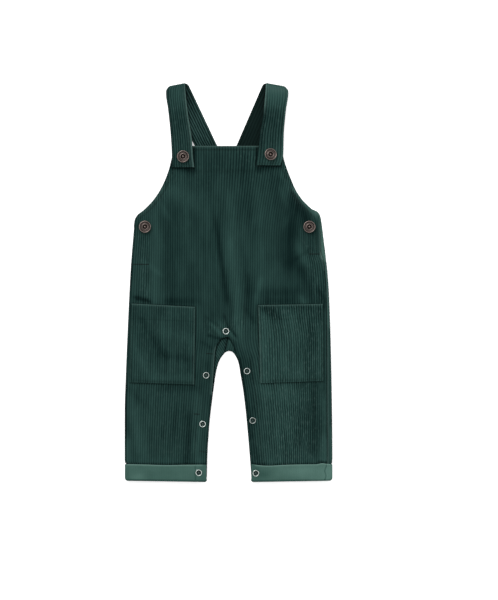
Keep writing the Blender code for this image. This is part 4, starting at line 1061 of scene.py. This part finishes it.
def cuff(name, side, surfaces):
    """The turned-up leg end, wrong side out: round the leg from the inseam's front edge to its back edge.

    A column is a distance round the leg, and a level how far down from the top edge, then round the fold.
    """
    inner = front_inseam_left if side < 0 else front_inseam_right
    top_edge = LEFT_TOP_EDGE if side < 0 else RIGHT_TOP_EDGE
    outline = (CUFF_OUTLINE_LEFT if side < 0 else CUFF_OUTLINE_RIGHT) - HALF
    low, high = BACK_LAYER, SIDE_LAYER + STACK + RIBBED_STACK
    round_by = (high - low) / 2
    inner_x = float(inner((CUFF_TOP + CUFF_BOTTOM) / 2))
    arc_x = side * (outline - round_by)
    flat_run, arc_run = abs(arc_x - inner_x), math.pi * round_by

    def place(run, level):
        turn = np.clip((run - flat_run) / round_by, 0, math.pi)
        back_run = np.clip(run - flat_run - arc_run, 0, flat_run)
        way_x, way_z = side * np.sin(turn), np.cos(turn)
        on_front = run <= flat_run
        x = np.where(on_front, between(inner_x, arc_x, run / flat_run), arc_x + round_by * way_x - side * back_run)
        fold_round = between(RIBBED_STACK, STACK, turn / math.pi) / 2
        near_end = np.minimum(np.abs(x - side * outline), np.abs(x - inner_x))
        corner = 1 - np.sqrt(1 - np.clip(1 - near_end / CUFF_CORNER, 0, 1) ** 2)
        bottom = CUFF_BOTTOM + CUFF_SLOPE * (np.abs(x) - abs(inner_x)) + HALF + fold_round + CUFF_CORNER * corner
        top = CUFF_TOP + top_edge(x) * (1 - smooth(run, flat_run, flat_run + 3))
        down, fold = np.clip(-level, 0, 1), np.clip(-level - 1, 0, 1) * math.pi
        y = between(top, bottom, down)
        inside = smooth(down, 0, 0.25) * (1 - smooth(down, 0.75, 1)) * smooth(run, 0, 8)
        swell = 0.35 * inside * (0.6 * np.sin(x / 9 + 1) + 0.4 * np.sin(x / 4.7)) + 0.3 * (1 - smooth(down, 0, 0.2))
        z = np.where(on_front, front_layer(x, y) + RIBBED_STACK, low + round_by * (1 + way_z))
        z = z + swell * (1 - smooth(run, flat_run, flat_run + 2))
        inward = fold_round * (1 - np.cos(fold))
        return np.stack((x - way_x * inward, y - fold_round * np.sin(fold), z - way_z * inward), 1)

    def seam_run(x, y):
        """Where the seam across the turn-up lies: the placket's join at the left, the side seam at the right."""
        if side < 0:
            return 15.6 + 0.3 * np.sin(y / 1.6)
        return 104.3 - abs(31 - inner_x) + 0.9 * np.sin(y / 2.3) + 0.03 * (y + 254)

    def dress(cloth):
        x, y, run, down = cloth.x, cloth.y, cloth.column, -cloth.level
        seam = fading(run - seam_run(x, y), 0.8) * (down < 1.2)
        top = (run < flat_run + 2) & (down < 0.5)
        # A pale top rim, partly wear and partly painted highlight; the listed painted light and shade, a dark seam,
        # and painted shade at the inner end and just above the bottom fold.
        worn = np.where(top, rim_wear_and_highlight(down * CUFF_TALL, 1.3) * smooth(run, 2, 8), 0)
        shades = sum(tone * fading(x - x0, wide) * fading(y - y0, tall) for x0, y0, wide, tall, tone in CUFF_SHADES)
        nap = shades - (1.0 if side < 0 else 2.2) * seam - 0.5 * fading(run, 0.9)
        nap = nap - 1.1 * fading(np.maximum(0.97 - down, 0), 0.035)
        right = HALF + 0.06 * wale_shape(run / WALE_PITCH) - 0.35 * seam
        return right, HALF, dict(worn=worn, nap=nap, pressed=seam), (run / WALE_PITCH, y)

    last = 2 * flat_run + arc_run
    columns = ([0, 0.15, 0.4, 0.75], np.arange(1.2, last - 1, 0.55), [last - 0.5, last - 0.15, last])
    rows = ([0, 0.006, 0.018, 0.045], np.arange(0.09, 0.97, 0.055), [0.975, 1], 1 + np.arange(1, 13) / 12)
    lattice = grid_lattice(np.concatenate(columns), -np.concatenate(rows), 1)
    return cloth_shell(name, lattice, place, dress, surfaces, turned=side < 0)


# ---------------- buttons, snaps and thread


def turned_piece(name, section, sides, finish):
    """A piece turned about Z: a disc that is drawn out and widened from step to step of its half section."""
    bpy.ops.object.select_all(action="DESELECT")
    start_radius, start_height, _ = section[0]
    bpy.ops.mesh.primitive_circle_add(vertices=sides, radius=start_radius * MM, fill_type="NGON")
    piece = bpy.context.object
    piece.name = name
    bpy.ops.object.mode_set(mode="EDIT")
    bpy.ops.mesh.select_all(action="SELECT")
    bpy.ops.transform.translate(value=(0, 0, start_height * MM))
    for (radius, height, _), (next_radius, next_height, _) in zip(section, section[1:]):
        rise = (0, 0, (next_height - height) * MM)
        bpy.ops.mesh.extrude_region_move(TRANSFORM_OT_translate={"value": rise})
        wider = next_radius / radius
        bpy.ops.transform.resize(value=(wider, wider, 1), center_override=(0, 0, 0))
    bpy.ops.mesh.poke()
    bpy.ops.mesh.select_all(action="SELECT")
    bpy.ops.mesh.normals_make_consistent(inside=False)
    bpy.ops.object.mode_set(mode="OBJECT")
    bpy.ops.object.shade_smooth()
    piece.data.materials.append(finish)
    radii, worn = zip(*sorted((radius, worn) for radius, height, worn in section if height > 0 or radius > 6.6))
    mark_wear_and_highlight(piece, lambda point: np.interp(math.hypot(point.x, point.y) / MM, radii, worn) if point.z > 0 else 0)
    return piece


def mark_wear_and_highlight(piece, wear_and_highlight_at):
    """Stores how bright the metal is at each point of a piece, from wear and painted highlight."""
    attribute = piece.data.attributes.new("worn", "FLOAT", "POINT")
    attribute.data.foreach_set("value", [float(wear_and_highlight_at(vertex.co)) for vertex in piece.data.vertices])


def copied(piece, turn):
    """A copy of a modelled piece, turned or moved, with its own mesh."""
    other = piece.copy()
    other.data = piece.data.copy()
    other.data.transform(turn)
    bpy.context.scene.collection.objects.link(other)
    return other


def tack_button(finish):
    """A cast tack button with a rim, a ring of dots, an inner ring and a sunk centre with its tack's dome."""
    button = turned_piece("tack_button", BUTTON_SECTION, 44, finish)
    bpy.ops.mesh.primitive_ico_sphere_add(subdivisions=1, radius=0.42 * MM, location=(5.75 * MM, 0, 1.95 * MM))
    dot = bpy.context.object
    dot.data.materials.append(finish)
    bpy.ops.object.transform_apply(location=True, rotation=False, scale=False)
    bpy.ops.object.shade_smooth()
    mark_wear_and_highlight(dot, lambda point: 0.75)
    turns = [Matrix.Rotation(2 * math.pi * k / DOTS_ON_BUTTON, 4, "Z") for k in range(1, DOTS_ON_BUTTON)]
    pieces = [button, dot] + [copied(dot, turn) for turn in turns]
    bpy.ops.object.select_all(action="DESELECT")
    for piece in pieces:
        piece.select_set(True)
    bpy.context.view_layer.objects.active = button
    bpy.ops.object.join()
    return button


def place_of(node, sunk):
    """Where a small round piece of the frame sits: the matrix that takes an upright piece there."""
    corners = np.array([vertex.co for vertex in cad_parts[node].data.vertices])
    middle = corners.mean(0)
    axis = Vector(np.linalg.svd(corners - middle, full_matrices=False)[2][2])
    if axis.z < 0:
        axis.negate()
    foot = Vector(middle) + axis * (((corners - middle) @ np.array(axis)).min() + sunk * MM)
    return Matrix.Translation(foot) @ Vector((0, 0, 1)).rotation_difference(axis).to_matrix().to_4x4()


def put_hardware(model, word, sunk):
    """Copies a modelled piece to each place where the frame has one, and removes the model."""
    for node in sorted(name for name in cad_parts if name.startswith(word)):
        piece = copied(model, place_of(node, sunk))
        for mark in piece.data.attributes["worn"].data:
            mark.value *= DIMMER_SNAPS.get(node, 1.0)
        piece.name = node.replace("button_", "tack_button_").replace("snap_", "ring_snap_")
        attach(piece, "root")
        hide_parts(node)
    bpy.data.objects.remove(model)


def along_path(path, pitch=STITCH_PITCH, inset=0.5):
    """Places at even steps along a path of points, with the way that it runs at each."""
    path = np.array(path, float)
    gone = np.concatenate(([0], np.cumsum(np.linalg.norm(np.diff(path, axis=0), axis=1))))
    count = int((gone[-1] - 2 * inset) / pitch)
    stops = inset + (np.arange(count) + 0.5) * (gone[-1] - 2 * inset) / max(count, 1)

    def at(stop):
        return np.stack([np.interp(stop, gone, path[:, k]) for k in range(3)], 1)

    ways = at(stops + 0.6) - at(stops - 0.6)
    return at(stops), ways / np.linalg.norm(ways, axis=1, keepdims=True)


def one_stitch():
    """A single stitch along Y, a thread that dips at both ends."""
    bpy.ops.object.select_all(action="DESELECT")
    bpy.ops.mesh.primitive_uv_sphere_add(segments=6, ring_count=5, radius=0.5 * MM)
    stitch = bpy.context.object
    bpy.ops.transform.rotate(value=math.pi / 2, orient_axis="X", center_override=(0, 0, 0))
    bpy.ops.transform.resize(value=(STITCH_WIDTH, STITCH_LENGTH, STITCH_WIDTH), center_override=(0, 0, 0))
    bpy.ops.object.transform_apply(location=True, rotation=True, scale=True)
    return stitch


def sew(name, seams, stitch, finish, length=1.0):
    """Makes one piece of thread from stitches that are copied along seams, each (places, ways)."""
    model = np.array([vertex.co for vertex in stitch.data.vertices])
    model_faces = [tuple(face.vertices) for face in stitch.data.polygons]
    points, faces = [], []
    for places, ways in seams:
        for place, way in zip(places, ways):
            side = np.cross(way, (0, 0, 1))
            side /= np.linalg.norm(side)
            faces += [tuple(v + len(points) * len(model) for v in face) for face in model_faces]
            points.append(model @ np.stack((side, way * length, np.cross(side, way))) + place * MM)
    mesh = bpy.data.meshes.new(name)
    mesh.from_pydata(np.concatenate(points).tolist(), [], faces)
    mesh.materials.append(finish)
    return add_piece(name, mesh)


def offset_path(points, by):
    """A path of (x, y) moved sideways, to its left where by is above 0."""
    ways = np.gradient(points, axis=0)
    ways /= np.linalg.norm(ways, axis=1, keepdims=True)
    return points + by * np.stack((-ways[:, 1], ways[:, 0]), 1)


def on_front(x, y):
    """A line on the front, at the height of its stitching."""
    return np.stack((x, y, front_middle(x, y) + HALF + THREAD_RISE), 1)


def front_seams():
    """Topstitching of the front: bib hem, armholes, the right side's opening and the inside legs' plackets."""

    def edge(side, top, end, count, by):
        down = np.linspace(top, end, count)
        return offset_path(np.stack((side(down), down), 1), by)

    bib_left = edge(front_left, BIB_TOP - HEM, UNDERARM, 90, HEM)
    bib_right = edge(front_right, BIB_TOP - HEM, UNDERARM, 90, -HEM)
    hem = np.stack((np.linspace(bib_left[0, 0], bib_right[0, 0], 60), np.full(60, BIB_TOP - HEM)), 1)
    opening = np.linspace(UNDERARM - HEM, OPENING_END - 20, 24)
    side = np.stack((front_right(opening) - HEM, opening), 1)
    left_leg = np.stack((np.full(30, -47.5), np.linspace(-186, LEG_HELD - 1, 30)), 1)
    left_thigh = edge(front_inseam_left, -104, -184, 40, -PLACKET_WIDTH)
    right_leg = edge(front_inseam_right, -104, LEG_HELD - 1, 70, PLACKET_WIDTH)
    paths = (hem, bib_left[2:-4], bib_right[2:], side, left_leg, left_thigh, right_leg)
    return [along_path(on_front(*path.T)) for path in paths]


def bar(x0, y0, x1, y1):
    """The close crosswise stitches of a bar tack from one place to another."""
    length = math.hypot(x1 - x0, y1 - y0)
    count = max(int(length / 0.5), 2)
    way = np.array([y0 - y1, x1 - x0, 0.0]) / length
    places = on_front(np.linspace(x0, x1, count), np.linspace(y0, y1, count)) + (0, 0, THREAD_RISE)
    return places, np.tile(way, (count, 1))


def pocket_seam(cut):
    """A pocket's topstitching down one side, along its bottom and up the other."""
    corners = [np.array(corner) for corner in (cut.top_out, cut.bottom_out, cut.bottom_in, cut.top_in)]
    middle = sum(corners) / 4
    drawn_in = [corner + np.sign(middle - corner) * SEWN_IN for corner in corners]
    x, y = np.concatenate([np.linspace(a, b, 40) for a, b in zip(drawn_in, drawn_in[1:])]).T
    return along_path(np.stack((x, y, front_layer(x, y) + RIBBED_STACK + POCKET_EASE + HALF + THREAD_RISE), 1))


def strap_seams(rows, fold):
    """Topstitching along both edges of a strap's front part and across its end."""
    place = strap_place(rows, fold)
    from_end, from_side = 0.022, 1.4  # a share of the front part's length, and half wales
    run, last = -np.linspace(from_end, 1.0, 80), LAST_ON_STRAP - from_side
    lines = [(np.full(80, from_side), run), (np.full(80, last), run)]
    lines.append((np.linspace(from_side, last, 20), np.full(20, -from_end)))
    return [along_path(place(*line) + (0, 0, STRAP_CORE / 2 + 0.25)) for line in lines]


# ---------------- finishes


class Value:
    """What a shader node gives. Its sums and products make their own nodes."""

    def __init__(self, nodes, socket):
        self.nodes, self.socket = nodes, socket

    def __add__(self, other):
        return self.nodes.math("ADD", self, other)

    def __sub__(self, other):
        return self.nodes.math("SUBTRACT", self, other)

    def __mul__(self, other):
        return self.nodes.math("MULTIPLY", self, other)


class Nodes:
    """Adds shader nodes to a tree by short calls."""

    def __init__(self, tree):
        self.tree = tree

    def put(self, value, socket):
        if isinstance(value, Value):
            self.tree.links.new(value.socket, socket)
        else:
            socket.default_value = value

    def add(self, kind, output, inputs=None, **settings):
        """Adds a node, and gives one of its outputs."""
        node = self.tree.nodes.new("ShaderNode" + kind)
        for name, value in settings.items():
            setattr(node, name, value)
        for key, value in (inputs or {}).items():
            self.put(value, node.inputs[key])
        return Value(self, node.outputs[output])

    def math(self, operation, *values):
        return self.add("Math", 0, dict(enumerate(values)), operation=operation)

    def within(self, value, low=0.0, high=1.0):
        return self.math("MINIMUM", self.math("MAXIMUM", value, low), high)

    def mix(self, share, low, high):
        return self.add("Mix", 2, {0: share, 6: low, 7: high}, data_type="RGBA")

    def noise(self, place, scale, detail=2.0, roughness=0.5, flat="2D"):
        settings = {"Vector": place, "Scale": scale, "Detail": detail, "Roughness": roughness}
        return self.add("TexNoise", "Fac", settings, noise_dimensions=flat)

    def cloud(self, across, along, detail, roughness=0.5):
        """Noise over the cloth, its places spread by their own scales."""
        return self.noise(self.add("CombineXYZ", 0, {"X": across, "Y": along}), 1.0, detail, roughness)

    def rib(self, u):
        """A rib's round height over its width."""
        return self.math("SINE", self.math("FRACT", u) * math.pi)


def group(name, marks, colours, build_from):
    """A shader node group that takes a place on the cloth, marks and colours, and gives a colour and a height."""
    tree = bpy.data.node_groups.new(name, "ShaderNodeTree")
    kinds = {"On Cloth": "Vector", **dict.fromkeys(marks, "Float"), **dict.fromkeys(colours, "Color")}
    for label, kind in kinds.items():
        tree.interface.new_socket(label, in_out="INPUT", socket_type="NodeSocket" + kind)
    for label, kind in (("Colour", "Color"), ("Height", "Float")):
        tree.interface.new_socket(label, in_out="OUTPUT", socket_type="NodeSocket" + kind)
    nodes = Nodes(tree)
    given, made = tree.nodes.new("NodeGroupInput").outputs, tree.nodes.new("NodeGroupOutput").inputs
    place, *values = (Value(nodes, given[label]) for label in kinds)
    u, v = (nodes.add("SeparateXYZ", part, {"Vector": place}) for part in ("X", "Y"))
    for value, label in zip(build_from(nodes, u, v, *values), ("Colour", "Height")):
        nodes.put(value, made[label])
    return tree


def pile(nodes, u, v, worn, nap, pressed, rubbed, groove, crest, rim):
    """How corduroy's pile takes colour: pale on the crests and rims, dark in the grooves, streaked along. The
    grooves' dark is partly painted shade, the crests' and rims' pale partly painted highlight, and its nap mark
    adds painted light and shade.
    """
    u = (nodes.cloud(u * 0.4, v * 130.0, 1.0) - 0.5) * 0.35 * rubbed + u
    tip = nodes.math("POWER", nodes.math("MAXIMUM", nodes.rib(u), 0.0001), rubbed * 0.5 + 0.8)
    streak = nodes.cloud(nodes.math("FLOOR", u) * 5.37, v * 16.0, 3.0, 0.6)
    tuft = nodes.cloud(u * 3.0, v * 620.0, 2.0, 0.6)
    patch = nodes.cloud(u * 0.16 + 9.0, v * 26.0, 2.0)
    tone = (tip - 0.66) * (rubbed * 0.4 + 0.46) + rubbed * 0.05 + (streak - 0.5) * (rubbed * 0.4 + 0.45) + 0.42
    tone = tone + (tuft - 0.5) * 0.12 + (patch - 0.5) * 0.3 + nap * 0.4 - pressed * 0.2
    # Painted deep shade: where the tone falls below the grooves' colour, the colour goes on toward near black.
    painted_deep_shade = nodes.within(tone * -1.3, 0.0, 0.75)
    colour = nodes.mix(painted_deep_shade, nodes.mix(nodes.within(tone), groove, crest), (0.0, 0.0006, 0.0005, 1.0))
    lint = nodes.math("MAXIMUM", nodes.cloud(u * 0.9 + 31.0, v * 150.0, 2.0, 0.55) - 0.5, 0.0) * rubbed * tip
    return nodes.mix(nodes.within(worn * (tuft * 0.9 + 0.15) + lint), colour, rim), tuft * 0.7 + streak * 0.3


def twill(nodes, u, v, worn, nap, dark, pale, rim):
    """The plain woven wrong side: a fine twill with the faint lines of the wales behind it."""
    weave = nodes.math("SINE", v * (3400 * math.pi) + u * (12 * math.pi)) * 0.5 + 0.5
    patch = nodes.cloud(u * 0.22, v * 60.0, 3.0, 0.55)
    tone = (patch - 0.5) * 0.3 + nap * 0.4 + weave * 0.16 + nodes.rib(u) * 0.05 + 0.4
    return nodes.mix(nodes.within(worn * 0.9), nodes.mix(nodes.within(tone), dark, pale), rim), weave


def new_material(name, roughness, metallic=0.0, sheen=0.0, specular=0.5):
    """A material with its Principled shader, whose own sockets hold what is the same all over."""
    made = bpy.data.materials.new(name)
    made.use_nodes = True
    shader = made.node_tree.nodes["Principled BSDF"].inputs
    shader["Roughness"].default_value = roughness
    shader["Metallic"].default_value = metallic
    shader["Specular IOR Level"].default_value = specular
    shader["Sheen Weight"].default_value = sheen
    return made, Nodes(made.node_tree), shader


def cloth_finish(name, tree, colours, bump, sheen=0.015):
    """A cloth material: a shared group that reads the cloth's map and marks, and a slight bump."""
    made, nodes, shader = new_material(name, 0.95, sheen=sheen, specular=0.03)
    shader["Sheen Roughness"].default_value = 0.6
    effect = nodes.tree.nodes.new("ShaderNodeGroup")
    effect.node_tree = tree
    nodes.put(nodes.add("UVMap", "UV", uv_map="cloth"), effect.inputs["On Cloth"])
    for mark in PILE_MARKS:
        if mark in effect.inputs:
            nodes.put(nodes.add("Attribute", "Fac", attribute_name=mark.lower()), effect.inputs[mark])
    for label, colour in colours.items():
        effect.inputs[label].default_value = (*colour, 1)
    colour, height = (Value(nodes, effect.outputs[label]) for label in ("Colour", "Height"))
    relief = nodes.add("Bump", "Normal", {"Height": height, "Strength": bump, "Distance": 0.0003})
    nodes.put(colour, shader["Base Color"])
    nodes.put(relief, shader["Normal"])
    return made


def metal_finish(name, dark, bright, roughness, worn_roughness):
    """Metal that is dark in its hollows and bright where its marks say so, from wear and painted highlight."""
    made, nodes, shader = new_material(name, roughness, metallic=1.0)
    speck = nodes.noise(nodes.add("TexCoord", "Object"), 900.0, 3.0, flat="3D")
    share = nodes.math("MINIMUM", nodes.add("Attribute", "Fac", attribute_name="worn") * (speck * 0.9 + 0.5), 1.0)
    nodes.put(nodes.mix(share, (*dark, 1), (*bright, 1)), shader["Base Color"])
    nodes.put(share * (worn_roughness - roughness) + roughness, shader["Roughness"])
    return made


def thread_finish(name, *colour):
    made, nodes, shader = new_material(name, 0.8, specular=0.2)
    fleck = nodes.noise(nodes.add("TexCoord", "Object"), 700.0, flat="3D")
    paler = [1.8 * part for part in colour]
    nodes.put(nodes.mix(fleck, (*colour, 1), (*paler, 1)), shader["Base Color"])
    return made


def floor_finish():
    made, nodes, shader = new_material("studio paper", 0.9, specular=0.2)
    grain = nodes.noise(nodes.add("TexCoord", "Object"), 40.0)
    nodes.put(nodes.mix(grain, (0.9, 0.9, 0.9, 1), (0.93, 0.93, 0.93, 1)), shader["Base Color"])
    shader["Emission Color"].default_value = (1, 1, 1, 1)
    shader["Emission Strength"].default_value = 0.4
    return made


# ---------------- camera, floor and light


def studio():
    """A pale floor, soft light from the head end and the left with a fill, and a camera straight above."""
    bpy.ops.mesh.primitive_plane_add(size=8, location=(0, 0, -0.0002))
    floor = bpy.context.object
    floor.name = "studio_floor"
    floor.data.materials.append(floor_finish())

    scene = bpy.context.scene
    softboxes = {
        "key_softbox": ((-1.1, 1.7, 1.9), 1.4, 62), "fill_softbox": ((1.9, 0.2, 1.6), 1.6, 22),
        "top_softbox": ((0.0, 0.0, 3.6), 2.4, 30),
    }
    for name, (location, size, power) in softboxes.items():
        light = bpy.data.objects.new(name, bpy.data.lights.new(name, "AREA"))
        light.data.size, light.data.energy = size, power
        light.location = location
        light.rotation_mode = "QUATERNION"
        light.rotation_quaternion = (-Vector(location)).to_track_quat("-Z", "Y")
        scene.collection.objects.link(light)
    scene.world = bpy.data.worlds.new("studio")
    scene.world.use_nodes = True
    background = scene.world.node_tree.nodes["Background"].inputs
    background["Color"].default_value = (1, 1, 1, 1)
    background["Strength"].default_value = 0.45
    scene.view_settings.view_transform = "Standard"

    camera = bpy.data.objects.new("camera", bpy.data.cameras.new("camera"))
    above, framed_height = 3.0, 0.84  # metres
    camera.data.lens = camera.data.sensor_width * above / framed_height
    camera.location = (0.02807, -0.0248, above + 0.006)
    scene.collection.objects.link(camera)
    scene.camera = camera


# ---------------- the garment


def declare(piece, node):
    """Hides the frame's node that a cloth piece stands for. The piece is not used."""
    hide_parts(node)


def build():
    for piece in bpy.context.selected_objects:
        piece.select_set(False)
    right_side = group("corduroy pile", PILE_MARKS, ("Groove", "Crest", "Rim"), pile)
    plain_side = group("woven wrong side", PILE_MARKS[:2], ("Dark", "Pale", "Rim"), twill)
    corduroy = cloth_finish("green corduroy", right_side, GREEN, 0.4)
    wrong_side = cloth_finish("corduroy wrong side", plain_side, PALE_GREEN, 0.35)
    # The straps' undersides: one copy of the corduroy in painted shade, and one with painted shade in its grooves
    # and painted highlight on its crests.
    in_shade = cloth_finish("corduroy in painted shade", right_side, SHADED_GREEN, 0.4, sheen=0.0)
    shaded_ribs = cloth_finish("corduroy turned from the light", right_side, PAINTED_SHADE_AND_HIGHLIGHT_GREEN, 0.6, sheen=0.01)
    finishes = (corduroy, wrong_side)
    studio()
    lattice, place = panel_lattice(FRONT, ROW_STEP)
    front = cloth_shell("front_panel", lattice, place, dress_front, finishes)
    declare(front, "front")
    lattice, place = panel_lattice(BACK, 2 * ROW_STEP)
    back = cloth_shell("back_panel", lattice, place, dress_back, finishes, turned=True)
    declare(back, "back")
    for cut in POCKETS:
        declare(pocket(cut, finishes), cut.name)
    for name, rows, fold, look in STRAPS:
        under = shaded_ribs if look.ribbed_back else in_shade
        piece = strap("shoulder_" + name, rows, fold, look, (corduroy, under))
        declare(piece, name)
    placket_left = placket("inseam_placket_left", back_inseam_left, -1, LEFT_CROTCH, DIAGONAL_RIBS, finishes)
    declare(placket_left, "placket_left")
    placket_right = placket("inseam_placket_right", back_inseam_right, 1, RIGHT_CROTCH, UPRIGHT_RIBS, finishes)
    declare(placket_right, "placket_right")
    for side, name in ((-1, "left"), (1, "right")):
        piece = cuff("turn_up_" + name, side, (wrong_side, corduroy))
        declare(piece, "cuff_" + name)

    stitch = one_stitch()
    thread = thread_finish("green thread", 0.013, 0.033, 0.028)
    sew("front_topstitching", front_seams(), stitch, thread)
    # The bar tacks' thread is darker than the cloth, and painted as dark as the shade between their close stitches.
    thread_in_painted_shade = thread_finish("thread in painted shade", 0.003, 0.008, 0.007)
    sew("front_bar_tacks", [bar(*ends) for ends in BAR_TACKS], stitch, thread_in_painted_shade, 0.75)
    for cut in POCKETS:
        sew(cut.name + "_topstitching", [pocket_seam(cut)], stitch, thread)
    for name, rows, fold, _ in STRAPS:
        sew(name + "_topstitching", strap_seams(rows, fold), stitch, thread)
    bpy.data.objects.remove(stitch)

    bronze = metal_finish("antique bronze", (0.009, 0.0068, 0.006), (0.18, 0.145, 0.132), 0.5, 0.38)
    nickel = metal_finish("bright nickel", (0.012, 0.024, 0.022), (0.56, 0.62, 0.59), 0.5, 0.34)
    put_hardware(tack_button(bronze), "button_", SHANK_HEIGHT)
    put_hardware(turned_piece("ring_snap", SNAP_SECTION, 36, nickel), "snap_", 0.0)


build()
